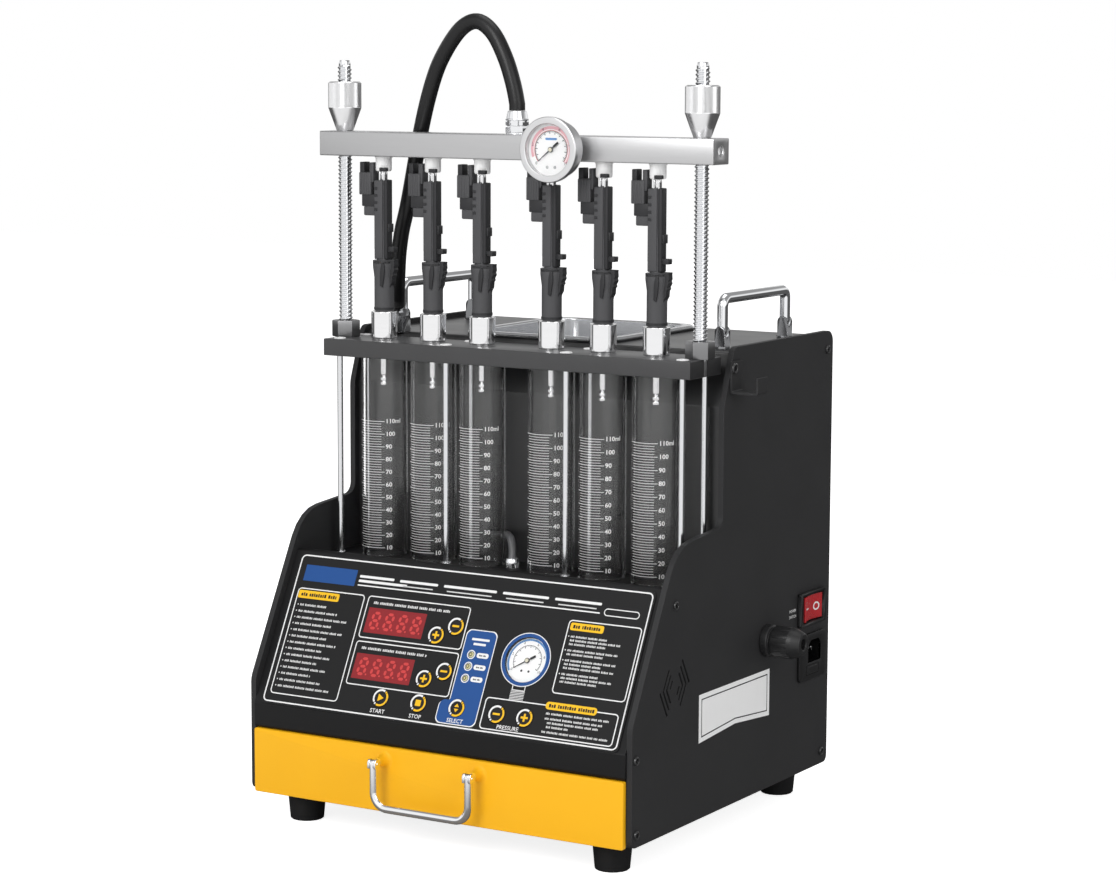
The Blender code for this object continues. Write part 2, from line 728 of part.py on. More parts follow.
def swept(points, radius, sides=3, smooth_steps=0):
    """A round bar along points; smooth steps round its course between two straight ends."""
    curve = bpy.data.curves.new("sweep", "CURVE")
    curve.dimensions = "3D"
    curve.bevel_depth = radius
    curve.bevel_resolution = sides
    curve.use_fill_caps = True
    route = points
    if smooth_steps:
        route = [points[0]] + smooth_route(points[1:-1], smooth_steps) + [points[-1]]
    spline = curve.splines.new("POLY")
    spline.points.add(len(route) - 1)
    for slot, point in zip(spline.points, route):
        slot.co = (*point, 1.0)
    holder = bpy.data.objects.new("sweep", curve)
    bpy.context.scene.collection.objects.link(holder)
    graph = bpy.context.evaluated_depsgraph_get()
    mesh = bpy.data.meshes.new_from_object(holder.evaluated_get(graph))
    shape = bmesh.new()
    shape.from_mesh(mesh)
    bmesh.ops.remove_doubles(shape, verts=shape.verts, dist=FIT / 100)
    bpy.data.objects.remove(holder, do_unlink=True)
    bpy.data.meshes.remove(mesh)
    return shape


def smooth_route(points, steps):
    """Points along a smooth curve through the given ones."""
    knots = [Vector(point) for point in points]
    padded = [knots[0] * 2 - knots[1]] + knots + [knots[-1] * 2 - knots[-2]]
    route = []
    for a, b, c, d in zip(padded, padded[1:], padded[2:], padded[3:]):
        for step in range(steps):
            t = step / steps
            route.append((b * 2 + (c - a) * t + (a * 2 - b * 5 + c * 4 - d) * t ** 2
                          + (b * 3 - a - c * 3 + d) * t ** 3) / 2)
    route.append(knots[-1])
    return route


def on_panel(shape, x_share=0.0, s_share=0.0):
    """A shape drawn round the panel's normal, moved to its place on the slope."""
    return placed(shape, (x_share * BORDER_HALF_X, s_share * BORDER_S, 0.0), PANEL_FRAME)


def panel_point(x_share, s_share, n=0.0):
    return PANEL_FRAME @ Vector((x_share * BORDER_HALF_X, s_share * BORDER_S, n))


# Case

def plate_outline():
    return rounded([
        (PLATE_FRONT_Y, PLATE_BOTTOM_Z, PLATE_FOOT_R),
        (PLATE_BACK_Y, PLATE_BOTTOM_Z, PLATE_FOOT_R),
        (PLATE_BACK_Y, PLATE_TOP_Z, PLATE_HEAD_R),
        (PLATE_BROW_Y, PLATE_TOP_Z, PLATE_BROW_R),
        (PLATE_BAY_Y, PLATE_LEAN_Z, PLATE_LEAN_R),
        (PLATE_BAY_Y, PLATE_BAY_Z, PLATE_BAY_R),
        (PLATE_SHOULDER_Y, PLATE_SHOULDER_Z, PLATE_SHOULDER_R),
        (PLATE_FRONT_Y, PLATE_BEND_Z, PLATE_BEND_R),
    ])


def vent_slots(start, end):
    """Nested broken hexagons: each ring keeps one slant or both, and the far half is the point mirror."""
    rise = math.sin(math.pi / 3)
    slots = []
    for ring in range(VENT_RINGS):
        reach = VENT_R - VENT_PITCH * ring
        top = Vector((reach / 2, reach * rise))
        tip = Vector((reach, 0.0))
        bottom = Vector((reach / 2, -reach * rise))
        path = [top, tip, bottom]
        if ring == 0:
            path = [top, tip]
        if ring == VENT_RINGS - 1:
            path = [tip, bottom]
        for sign in (1, -1):
            outline = band([point * sign for point in path], VENT_SLOT)
            slots.append(prism([point + Vector((VENT_Y, VENT_Z)) for point in outline], start, end, "x"))
    return joined(*slots)


def side_plate(name, side):
    start, end = sorted((side * PLATE_INNER_X, side * PLATE_OUTER_X))
    plate = piece(name, prism(plate_outline(), start, end, "x"), "plate_coat")
    cut(plate, vent_slots(start - CUT, end + CUT), "vent")
    return plate


def side_plates():
    side_plate("side_plate_left", -1)
    right = side_plate("side_plate_right", 1)
    start = PLATE_INNER_X - CUT
    end = PLATE_OUTER_X + CUT
    switch = box_outline(SWITCH_BODY_HALF_Y + FIT, SWITCH_BODY_HALF_Z + FIT, SWITCH_CORNER_R, (SWITCH_Y, SWITCH_Z))
    inlet = box_outline(INLET_BODY_HALF_Y + FIT, INLET_BODY_HALF_Z + FIT, SWITCH_CORNER_R, (INLET_Y, INLET_Z))
    gland = placed(cylinder(GLAND_STEM_R + FIT, start, end, MEDIUM_SIDES), ALONG_X, (0.0, GLAND_Y, GLAND_Z))
    cut(right, joined(prism(switch, start, end, "x"), prism(inlet, start, end, "x"), gland), "fittings")


def bottom_pan():
    wall_x = SHEET_HALF_X
    path = rounded([
        (wall_x, PAN_WALL_TOP_Z, 0.0),
        (wall_x, PAN_Z, SHEET_T + FIT),
        (-wall_x, PAN_Z, SHEET_T + FIT),
        (-wall_x, PAN_WALL_TOP_Z, 0.0),
    ], closed=False)
    piece("bottom_pan", prism(sheet_outline(path), PAN_FRONT_Y, INSIDE_BACK_Y, "y"), "zinc")


def inner_deck():
    outline = box_outline(SHEET_HALF_X, (INSIDE_BACK_Y - PAN_FRONT_Y) / 2, 0.0,
                          (0.0, (INSIDE_BACK_Y + PAN_FRONT_Y) / 2))
    piece("inner_deck", prism(outline, DECK_Z, DECK_TOP_Z), "zinc")


def rubber_feet():
    for place, y in (("front", FOOT_FRONT_Y), ("back", FOOT_BACK_Y)):
        for side, x in (("left", -FOOT_X), ("right", FOOT_X)):
            foot = turned([(0.0, FOOT_SCREW_DEPTH), (FOOT_SCREW_R, FOOT_SCREW_DEPTH), (FOOT_SCREW_R, 0.0),
                           (FOOT_BOTTOM_R - FIT * 3, 0.0), (FOOT_BOTTOM_R, FIT * 3),
                           (FOOT_TOP_R, FOOT_H), (0.0, FOOT_H)], MEDIUM_SIDES)
            piece("foot_" + place + "_" + side, placed(foot, (x, y, 0.0)), "rubber")


def front_panel():
    """One folded sheet: fascia, slope, lip and the tray that the tubes stand on."""
    slope_foot = PANEL_FRAME @ Vector((0.0, 0.0, SHEET_N))
    run = math.tan(SLOPE)
    bend_z = slope_foot.z - (slope_foot.y - FASCIA_Y) * run
    lip_z = slope_foot.z + (LIP_Y - slope_foot.y) * run
    path = rounded([
        (FASCIA_Y + FASCIA_FLANGE, FASCIA_BOTTOM_Z, 0.0),
        (FASCIA_Y, FASCIA_BOTTOM_Z, FASCIA_R),
        (FASCIA_Y, bend_z, FASCIA_R),
        (LIP_Y, lip_z, LIP_R),
        (LIP_Y, TRAY_Z, TRAY_R),
        (WALL_Y - FIT, TRAY_Z, 0.0),
    ], closed=False)
    panel = piece("front_panel", prism(sheet_outline(path), -SHEET_HALF_X, SHEET_HALF_X, "x"), "black_coat")
    low = SHEET_N - SHEET_T - CUT
    high = SHEET_N + CUT
    wells = [on_panel(cylinder(KEY_WELL_R, low, high), *place) for place in KEY_PLACE_SHARES.values()]
    wells += [on_panel(cylinder(LED_R + LED_FIT, low, high, PIN_SIDES), LED_X_SHARE, share)
              for share in LED_S_SHARES]
    wells.append(on_panel(cylinder(DIAL_R + LED_FIT, low, high, ROUND_SIDES), DIAL_X_SHARE, DIAL_S_SHARE))
    opening = box_outline(WINDOW_HALF_X + FIT, WINDOW_HALF_S + FIT)
    wells += [on_panel(prism(opening, low, high), WINDOW_X_SHARE, share) for share in WINDOW_S_SHARES]
    cut(panel, joined(*wells), "wells")
    unite(panel, drain_hose(ELBOW_R), "drain_hose")
    unite(panel, drain_fitting(), "drain_fitting")


def drain_fitting():
    """The tray's drain: a round fitting that its hose leaves upwards."""
    top = TRAY_Z + ELBOW_FOOT_H
    foot = turned([(0.0, TRAY_Z - SHEET_T / 2), (ELBOW_FOOT_R, TRAY_Z - SHEET_T / 2),
                   (ELBOW_FOOT_R, top - ELBOW_FOOT_EDGE), (ELBOW_FOOT_R - ELBOW_FOOT_EDGE, top), (0.0, top)],
                  SMALL_SIDES)
    return placed(foot, (ELBOW_X, ELBOW_Y, 0.0))


def drain_hose(radius):
    """The drain hose bends back between two tubes and passes through the wall behind them."""
    start = Vector((ELBOW_X, ELBOW_Y, TRAY_Z + ELBOW_FOOT_H - SINK))
    return swept([start + Vector(point) * MM for point in ELBOW_ROUTE], radius, 2, 2)


def upper_cover():
    """One folded sheet: the wall behind the tubes, its lean to the brow and the top over the bath."""
    path = rounded([
        (WALL_Y, WALL_FOOT_Z, 0.0),
        (WALL_Y, LEAN_Z, WALL_R),
        (BROW_Y, COVER_Z, BROW_R),
        (PLATE_BACK_Y - RECESS, COVER_Z, 0.0),
    ], closed=False)
    cover = piece("upper_cover", prism(sheet_outline(path), -SHEET_HALF_X, SHEET_HALF_X, "x"), "black_coat")
    hole = box_outline(BATH_RIM_HALF_X - BATH_RIM_W + FIT * 2, BATH_RIM_HALF_Y - BATH_RIM_W + FIT * 2,
                       BATH_CORNER_R, (BATH_X, BATH_Y))
    cut(cover, prism(hole, COVER_Z - SHEET_T - CUT, COVER_Z + CUT), "bath_hole")
    cut(cover, drain_hose(ELBOW_R + FIT * 2), "drain_hole")
    across = Matrix.Rotation(math.pi / 2, 4, "Z")
    pivot_z = COVER_Z + CARRY_PIVOT_H
    feet = [(across, (side * CARRY_X, y, pivot_z)) for side in (-1, 1) for y in (CARRY_FRONT_Y, CARRY_BACK_Y)]
    add_forks(cover, CARRY_PIVOT_H, CARRY_FLANGE_R, CARRY_FLANGE_T, feet)
    add_hose_fitting(cover, (-HOSE_FOOT_X, HOSE_FOOT_Y, COVER_Z))


def back_panel():
    outer_y = PLATE_BACK_Y - RECESS
    inner_y = outer_y - SHEET_T
    mid_z = (PLATE_BOTTOM_Z + COVER_UNDER_Z - FIT) / 2
    half_z = (COVER_UNDER_Z - FIT - PLATE_BOTTOM_Z) / 2
    outline = box_outline(SHEET_HALF_X, half_z, 0.0, (0.0, mid_z))
    panel = piece("back_panel", prism(outline, inner_y, outer_y, "y"), "black_coat")
    slots = []
    for side in (-1, 1):
        for index in range(LOUVRE_COUNT):
            x = side * LOUVRE_X + (index - (LOUVRE_COUNT - 1) / 2) * LOUVRE_PITCH
            slot = box_outline(LOUVRE_W / 2, LOUVRE_H / 2, 0.0, (x, LOUVRE_Z))
            slots.append(prism(slot, inner_y - CUT, outer_y + CUT, "y"))
    cut(panel, joined(*slots), "louvres")


# Forked joints: a fork stands along +Z with its pin along X; a tongue hangs from the pin along +Z

def fork_body(foot):
    outline = rounded([(-FORK_R, -foot - SINK, 0.0), (FORK_R, -foot - SINK, 0.0), (FORK_R, FORK_R, FORK_R * 0.999),
                       (-FORK_R, FORK_R, FORK_R * 0.999)])
    return prism(outline, -FORK_R, FORK_R, "x")


def fork_slot():
    low = -TONGUE_R - FIT
    high = FORK_R + CUT
    opening = box_outline(high, (high - low) / 2, 0.0, (0.0, (high + low) / 2))
    return prism(opening, -FORK_SLOT / 2, FORK_SLOT / 2, "x")


def fork_pin():
    return placed(cylinder(PIN_R, -FORK_R + FIT, FORK_R - FIT, PIN_SIDES), ALONG_X)


def add_forks(obj, foot, flange_r, flange_t, turns):
    """Forks with their pins, each carried to its place by matrices, on the piece that they stand on."""
    def each(make):
        return joined(*(placed(make(), *turn) for turn in turns))

    unite(obj, each(lambda: fork_body(foot)), "forks")
    unite(obj, each(lambda: cylinder(flange_r, -foot - SINK, -foot + flange_t)), "flanges")
    cut(obj, each(fork_slot), "slots")
    unite(obj, each(fork_pin), "pins")


def tongue():
    """A flat eye round the pin, reaching along +Z."""
    outline = rounded([(-TONGUE_R, -TONGUE_R, TONGUE_R * 0.999), (TONGUE_R, -TONGUE_R, TONGUE_R * 0.999),
                       (TONGUE_R, TONGUE_REACH, 0.0), (-TONGUE_R, TONGUE_REACH, 0.0)])
    return prism(outline, -TONGUE_T / 2, TONGUE_T / 2, "x")


def eye_hole():
    return placed(cylinder(PIN_R + PIN_FIT, -TONGUE_T, TONGUE_T, PIN_SIDES), ALONG_X)


def bow_handle(name, finish, bar, turns, pivot):
    """A bent bar with a tongue on each end, each given by the matrices that carry it there."""
    obj = piece(name, bar, finish, pivot)
    unite(obj, joined(*(placed(tongue(), *turn) for turn in turns)), "tongues")
    cut(obj, joined(*(placed(eye_hole(), *turn) for turn in turns)), "eyes")
    return obj


# Drawer

def drawer_front():
    outline = box_outline(FRONT_HALF_X, (FRONT_TOP_Z - FRONT_BOTTOM_Z) / 2, 0.0,
                          (0.0, (FRONT_TOP_Z + FRONT_BOTTOM_Z) / 2))
    shape = prism(outline, 0.0, FRONT_T, "y")
    front_edges = [edge for edge in shape.edges if all(vert.co.y < FRONT_T / 2 for vert in edge.verts)]
    upright = [edge for edge in shape.edges if edge not in front_edges
               and any(vert.co.y < FRONT_T / 2 for vert in edge.verts)]
    bmesh.ops.bevel(shape, geom=front_edges + upright, offset=FRONT_EDGE_R, offset_type="OFFSET",
                    segments=3, profile=0.5, affect="EDGES", material=-1)
    front = piece("drawer_front", shape, "yellow")
    forward = Matrix.Rotation(math.pi / 2, 4, "X")
    posts = [(forward, (side * BAIL_HALF_X, -BAIL_STANDOFF, BAIL_PIVOT_Z)) for side in (-1, 1)]
    add_forks(front, BAIL_STANDOFF, BAIL_FLANGE_R, BAIL_FLANGE_T, posts)


def drawer_box():
    start_y = FRONT_T + FIT
    bottom_z = PAN_Z + SHEET_T + FIT
    mid_y = start_y + BOX_LENGTH / 2
    outer = box_outline(BOX_HALF_X, BOX_LENGTH / 2, BOX_T * 2, (0.0, mid_y))
    inner = box_outline(BOX_HALF_X - BOX_T, BOX_LENGTH / 2 - BOX_T, BOX_T * 2, (0.0, mid_y))
    shape = stacked([(outer, bottom_z), (outer, bottom_z + BOX_H), (inner, bottom_z + BOX_H),
                     (inner, bottom_z + BOX_T)])
    piece("drawer_box", shape, "zinc")


def drawer_handle():
    hanging = [(Matrix.Rotation(math.pi, 4, "X"), (side * BAIL_HALF_X, -BAIL_STANDOFF, BAIL_PIVOT_Z))
               for side in (-1, 1)]
    top_z = BAIL_PIVOT_Z - TONGUE_REACH + FIT
    low_z = BAIL_PIVOT_Z - BAIL_DROP
    path = rounded([(-BAIL_HALF_X, top_z, 0.0), (-BAIL_HALF_X, low_z, BAIL_BEND_R),
                    (BAIL_HALF_X, low_z, BAIL_BEND_R), (BAIL_HALF_X, top_z, 0.0)], closed=False)
    bar = swept([(x, -BAIL_STANDOFF, z) for x, z in path], BAIL_R)
    bow_handle("drawer_handle", "chrome", bar, hanging, (0.0, -BAIL_STANDOFF, BAIL_PIVOT_Z))


# Control panel

def panel_overlay():
    """A printed film, left whole as a clear window over the displays and the dial."""
    outline = box_outline(BORDER_HALF_X + OVERLAY_MARGIN, BORDER_S / 2 + OVERLAY_MARGIN, OVERLAY_R,
                          (0.0, BORDER_S / 2))
    overlay = piece("panel_overlay", on_panel(prism(outline, -OVERLAY_T, 0.0)), "overlay")
    low = -OVERLAY_T - CUT
    holes = [on_panel(cylinder(KEY_R + KEY_FIT, low, CUT, MEDIUM_SIDES), *place)
             for place in KEY_PLACE_SHARES.values()]
    holes += [on_panel(cylinder(LED_R + LED_FIT, low, CUT), LED_X_SHARE, share) for share in LED_S_SHARES]
    cut(overlay, joined(*holes), "openings")


def keys():
    """Each key's cap stands in the overlay, and its flange is held behind the overlay."""
    under = SHEET_N - KEY_FLANGE_T
    for name, place in KEY_PLACE_SHARES.items():
        cap = turned([(0.0, under), (KEY_FLANGE_R, under), (KEY_FLANGE_R, SHEET_N), (KEY_R, SHEET_N),
                      (KEY_R, KEY_RISE), (0.0, KEY_RISE)], MEDIUM_SIDES)
        piece(name, on_panel(cap, *place), "key", panel_point(*place))


def pointer_shape(reach, angle):
    """A flat pointer round its hub: a fine tip one way and a wide tail the other."""
    tip = reach * POINTER_TIP_SHARE
    tail = reach * POINTER_TAIL_SHARE
    hub = POINTER_HUB_R
    side = math.sqrt(hub ** 2 - (POINTER_WIDE / 2) ** 2)
    front = math.asin(POINTER_WIDE / 2 / hub)
    arc = [Vector((hub * math.cos(turn), hub * math.sin(turn)))
           for turn in (front + (math.pi - 2 * front) * step / 6 for step in range(7))]
    outline = [Vector((tip, -POINTER_NARROW / 2)), Vector((tip, POINTER_NARROW / 2))] + arc
    outline += [Vector((-side - tail, POINTER_WIDE / 2)), Vector((-side - tail, -POINTER_WIDE / 2))]
    outline += [Vector((point.x, -point.y)) for point in reversed(arc)]
    return placed(prism(outline, -POINTER_T / 2, POINTER_T / 2), Matrix.Rotation(angle, 4, "Z"))


def panel_gauge():
    place = (DIAL_X_SHARE, DIAL_S_SHARE)
    front = SHEET_N - SHEET_T - FIT
    floor = front - DIAL_DEPTH
    back = front - DIAL_CASE_DEPTH
    case = turned([(0.0, back), (DIAL_R + DIAL_WALL, back), (DIAL_R + DIAL_WALL, front), (DIAL_R, front),
                   (DIAL_R, floor), (0.0, floor)])
    piece("panel_gauge_case", on_panel(case, *place), "dial")
    height = floor + FIT + POINTER_T
    pointer = placed(pointer_shape(DIAL_R, DIAL_ZERO), (0.0, 0.0, height))
    spindle = cylinder(POINTER_HUB_R / 2, floor + FIT, height)
    needle = piece("panel_gauge_pointer", on_panel(pointer, *place), "pointer", panel_point(*place, height))
    unite(needle, on_panel(spindle, *place), "spindle")


def control_board():
    """The board behind the panel, with its posts, display modules, switches and lamps."""
    half_x = (BOARD_LEFT_X + BOARD_RIGHT_X) / 2
    half_s = (BOARD_HIGH_S - BOARD_LOW_S) / 2
    mid_x = (BOARD_RIGHT_X - BOARD_LEFT_X) / 2
    mid_s = (BOARD_HIGH_S + BOARD_LOW_S) / 2
    outline = box_outline(half_x, half_s, 0.0, (mid_x, mid_s))
    board = piece("control_board", on_panel(prism(outline, BOARD_N - BOARD_T, BOARD_N)), "board")
    root = BOARD_N - BOARD_T / 2
    sheet_back = SHEET_N - SHEET_T - FIT
    parts = []
    for x in (mid_x - half_x + BOARD_POST_INSET, mid_x + half_x - BOARD_POST_INSET):
        for s in (mid_s - half_s + BOARD_POST_INSET, mid_s + half_s - BOARD_POST_INSET):
            post = cylinder(BOARD_POST_R, root, sheet_back, PIN_SIDES)
            parts.append(on_panel(placed(post, (x, s, 0.0))))
    module = box_outline(WINDOW_HALF_X, WINDOW_HALF_S)
    parts += [on_panel(prism(module, root, SHEET_N), WINDOW_X_SHARE, share) for share in WINDOW_S_SHARES]
    lamp = [(0.0, root), (LED_R, root), (LED_R, 0.0), (LED_R * 0.6, LED_DOME * 0.8), (0.0, LED_DOME)]
    parts += [on_panel(turned(lamp, SMALL_SIDES), LED_X_SHARE, share) for share in LED_S_SHARES]
    switch = box_outline(SWITCH_SIDE / 2, SWITCH_SIDE / 2)
    top = SHEET_N - KEY_FLANGE_T - KEY_TRAVEL - FIT
    for x_share, s_share in KEY_PLACE_SHARES.values():
        if x_share * BORDER_HALF_X < BOARD_RIGHT_X - SWITCH_SIDE:
            parts.append(on_panel(prism(switch, root, top), x_share, s_share))
    unite(board, joined(*parts), "parts")


# Tube bay

def measuring_tubes():
    low = TRAY_Z + FIT
    high = SOCKET_PLATE_Z - FIT
    for number, x in enumerate(TUBE_XS, start=1):
        tube = turned([(TUBE_BORE_R, low), (TUBE_R, low), (TUBE_R, high), (TUBE_BORE_R, high)], ring=True)
        piece("measuring_tube_" + str(number), placed(tube, (x, TUBE_Y, 0.0)), "glass")


def socket_plate():
    """The plate over the tubes with its sockets, nozzles, support rods and the rods' lock nuts."""
    half_y = (SOCKET_PLATE_BACK_Y - SOCKET_PLATE_FRONT_Y) / 2
    outline = box_outline(SOCKET_PLATE_HALF_X, half_y, 0.0, (0.0, SOCKET_PLATE_FRONT_Y + half_y))
    shape = prism(outline, SOCKET_PLATE_Z, SOCKET_TOP_Z)
    bmesh.ops.bevel(shape, geom=shape.edges[:], offset=SOCKET_PLATE_EDGE_R, offset_type="OFFSET", segments=1,
                    profile=0.5, affect="EDGES", material=-1)
    plate = piece("socket_plate", shape, "black_coat")
    tube_places = [(x, TUBE_Y, 0.0) for x in TUBE_XS]
    rod_places = [(x, TUBE_Y, 0.0) for x in (-ROD_X, ROD_X)]
    support_places = [(side * x, y, 0.0) for x in SUPPORT_X_OFFSETS for side in (-1, 1)
                      for y in (SUPPORT_FRONT_Y, SUPPORT_BACK_Y)]
    under = SOCKET_PLATE_Z + SINK
    over = SOCKET_TOP_Z - SINK
    nut_top = SOCKET_TOP_Z + LOCK_NUT_H
    unite(plate, copies(socket, tube_places), "sockets")
    unite(plate, copies(lambda: cylinder(SUPPORT_R, TRAY_Z + FIT, under, SMALL_SIDES), support_places), "supports")
    unite(plate, copies(lambda: prism(hexagon(LOCK_NUT_FLAT), over, nut_top), rod_places), "nuts")
    cut(plate, copies(lambda: cylinder(ROD_R + FIT, SOCKET_PLATE_Z - CUT, nut_top + CUT, MEDIUM_SIDES), rod_places), "rod_holes")
    cut(plate, copies(socket_bore, tube_places), "socket_bores")


def socket():
    """A collar on the plate and, under it, a spray nozzle that reaches into the tube."""
    end = SOCKET_PLATE_Z - NOZZLE_REACH
    return turned([
        (0.0, end), (NOZZLE_R, end), (NOZZLE_R, end + NOZZLE_TIP_H), (NOZZLE_NECK_R, end + NOZZLE_TIP_H),
        (NOZZLE_NECK_R, SOCKET_PLATE_Z - SOCKET_BOSS_H), (SOCKET_STEM_R, SOCKET_PLATE_Z - SOCKET_BOSS_H),
        (SOCKET_STEM_R, SOCKET_TOP_Z - SINK), (SOCKET_R, SOCKET_TOP_Z - SINK),
        (SOCKET_R, SOCKET_HEAD_Z - SOCKET_EDGE_R), (SOCKET_R - SOCKET_EDGE_R, SOCKET_HEAD_Z), (0.0, SOCKET_HEAD_Z),
    ], SMALL_SIDES)


def socket_bore():
    return cylinder(SOCKET_BORE_R, SOCKET_HEAD_Z - SOCKET_BORE_DEPTH, SOCKET_HEAD_Z + CUT)


def threaded_rods():
    for name, side in (("threaded_rod_left", -1), ("threaded_rod_right", 1)):
        rod = cylinder(ROD_R, SOCKET_PLATE_Z, ROD_TOP_Z, MEDIUM_SIDES)
        piece(name, placed(rod, (side * ROD_X, TUBE_Y, 0.0)), "chrome")


# Fuel rail

def rail():
    """The bar with its six couplers underneath and the hose fitting on top."""
    half_y = (RAIL_BACK_Y - RAIL_FRONT_Y) / 2
    mid_y = RAIL_FRONT_Y + half_y
    shape = prism(box_outline(RAIL_HALF_X, half_y, 0.0, (0.0, mid_y)), RAIL_Z, RAIL_TOP_Z)
    bmesh.ops.bevel(shape, geom=shape.edges[:], offset=RAIL_EDGE_R, offset_type="OFFSET", segments=1,
                    profile=0.5, affect="EDGES", material=-1)
    bar = piece("rail", shape, "aluminium")
    low = RAIL_Z - CUT
    high = RAIL_TOP_Z + CUT
    holes = [placed(cylinder(ROD_R + RAIL_HOLE_FIT, low, high, MEDIUM_SIDES), (x, TUBE_Y, 0.0)) for x in (-ROD_X, ROD_X)]
    deep = RAIL_HALF_X - RAIL_PORT_DEPTH
    mid_z = RAIL_Z + RAIL_H / 2
    for start, end in ((deep, RAIL_HALF_X + CUT), (-RAIL_HALF_X - CUT, -deep)):
        holes.append(placed(cylinder(RAIL_PORT_R, start, end), ALONG_X, (0.0, mid_y, mid_z)))
    places = [(x, TUBE_Y, 0.0) for x in TUBE_XS]
    unite(bar, copies(lambda: cylinder(COUPLER_R, COUPLER_Z, RAIL_Z + SINK, MEDIUM_SIDES), places), "couplers")
    add_hose_fitting(bar, (0.0, TUBE_Y, RAIL_TOP_Z))
    holes.append(copies(lambda: cylinder(COUPLER_BORE_R, COUPLER_Z - CUT, RAIL_Z, SMALL_SIDES), places))
    cut(bar, joined(*holes), "holes")


def add_hose_fitting(obj, place):
    """A hexagon with a tapered sleeve that takes the hose, on the piece that it is screwed into."""
    top = FITTING_HEX_H + FITTING_CONE_H
    unite(obj, placed(prism(hexagon(FITTING_FLAT, math.pi / 6), -SINK, FITTING_HEX_H), place), "hexagon")
    sleeve = turned([(0.0, FITTING_HEX_H / 2), (FITTING_FLAT / 2 - FIT, FITTING_HEX_H / 2),
                     (FITTING_FLAT / 2 - FIT, FITTING_HEX_H), (FITTING_CONE_R, top), (0.0, top)], MEDIUM_SIDES)
    unite(obj, placed(sleeve, place), "sleeve")


def knurled_nuts():
    base = RAIL_TOP_Z + FIT
    shoulder = base + KNURL_CONE_H
    top = shoulder + KNURL_H
    bore = ROD_R + ROD_FIT
    for name, side in (("knurled_nut_left", -1), ("knurled_nut_right", 1)):
        shape = turned([(bore, base), (KNURL_TIP_R, base), (KNURL_R, shoulder), (KNURL_R, top - KNURL_EDGE),
                        (KNURL_R - KNURL_EDGE, top), (bore, top)], ROUND_SIDES, ring=True)
        place = (side * ROD_X, TUBE_Y, 0.0)
        piece(name, placed(shape, place), "steel", place)


def injector_body():
    return turned([
        (0.0, -INJECTOR_TIP_REACH), (INJECTOR_TIP_R, -INJECTOR_TIP_REACH), (INJECTOR_TIP_R, 0.0),
        (INJECTOR_SLEEVE_R, 0.0), (INJECTOR_SLEEVE_R, INJECTOR_FLARE_H), (INJECTOR_FLARE_R, INJECTOR_SLEEVE_H),
        (INJECTOR_SHAFT_R, INJECTOR_SLEEVE_H), (INJECTOR_SHAFT_R, INJECTOR_SHAFT_H),
        (INJECTOR_HEAD_R, INJECTOR_SHAFT_H), (INJECTOR_HEAD_R, INJECTOR_HEAD_H), (0.0, INJECTOR_HEAD_H),
    ], MEDIUM_SIDES)


def injector_block(outline, deep, level):
    """A block on the injector's side from an outline of (outward, upward) millimetres, counted from a level."""
    return prism([(u * MM, level + v * MM) for u, v in outline], -deep / 2, deep / 2, "y")


def fuel_injectors():
    """Each injector has a two-pronged plug on its left, and a latch and two tabs on its right."""
    for number, x in enumerate(TUBE_XS, start=1):
        place = (x, TUBE_Y, INJECTOR_Z)
        injector = piece("fuel_injector_" + str(number), placed(injector_body(), place), "dark_plastic")
        unite(injector, placed(injector_block(PLUG_OUTLINE, PLUG_DEEP, INJECTOR_SHAFT_H), place), "plug")
        unite(injector, placed(injector_block(LATCH_OUTLINE, LATCH_DEEP, 0.0), place), "latch")
        tabs = [injector_block(outline, LATCH_DEEP, INJECTOR_SLEEVE_H) for outline in
                (UPPER_TAB_OUTLINE, LOWER_TAB_OUTLINE)]
        unite(injector, placed(joined(*tabs), place), "tabs")


def rail_gauge():
    """The gauge looks along -Y: its case is turned round that axis, with its stem against the rail."""
    face = (GAUGE_X, RAIL_FRONT_Y - FIT, GAUGE_Z)
    toward = Matrix.Rotation(math.pi / 2, 4, "X")
    back = GAUGE_STANDOFF
    front = back + GAUGE_DEPTH
    collar = front - GAUGE_BEZEL_H
    floor = front - GAUGE_WELL
    case = turned([
        (0.0, 0.0), (GAUGE_STEM_R, 0.0), (GAUGE_STEM_R, back), (GAUGE_CASE_R - GAUGE_EDGE_R, back),
        (GAUGE_CASE_R, back + GAUGE_EDGE_R), (GAUGE_CASE_R, collar), (GAUGE_BEZEL_R, collar),
        (GAUGE_BEZEL_R, front - GAUGE_EDGE_R), (GAUGE_BEZEL_R - GAUGE_EDGE_R, front), (GAUGE_GLASS_R, front),
        (GAUGE_GLASS_R, floor), (0.0, floor),
    ], ROUND_SIDES)
    piece("rail_gauge_case", placed(case, toward, face), "steel")
    height = floor + FIT + POINTER_T
    needle = placed(pointer_shape(GAUGE_GLASS_R, GAUGE_ZERO), (0.0, 0.0, height))
    pivot = Vector(face) - Vector((0.0, height, 0.0))
    pointer = piece("rail_gauge_pointer", placed(needle, toward, face), "pointer", pivot)
    unite(pointer, placed(cylinder(POINTER_HUB_R / 2, floor + FIT, height), toward, face), "spindle")
    lens_top = front - GAUGE_LENS_SINK
    lens = cylinder(GAUGE_GLASS_R - FIT, lens_top - GAUGE_LENS_T, lens_top, ROUND_SIDES)
    piece("rail_gauge_lens", placed(lens, toward, face), "glass")


def hose():
    start = Vector((0.0, TUBE_Y, RAIL_TOP_Z + FITTING_HEX_H + FITTING_CONE_H + FIT))
    route = [start + Vector(point) * MM for point in HOSE_ROUTE]
    piece("hose", swept(route, HOSE_R, HOSE_SIDES, 2), "hose")


# Bath, carrying handles and what is fixed to the right side

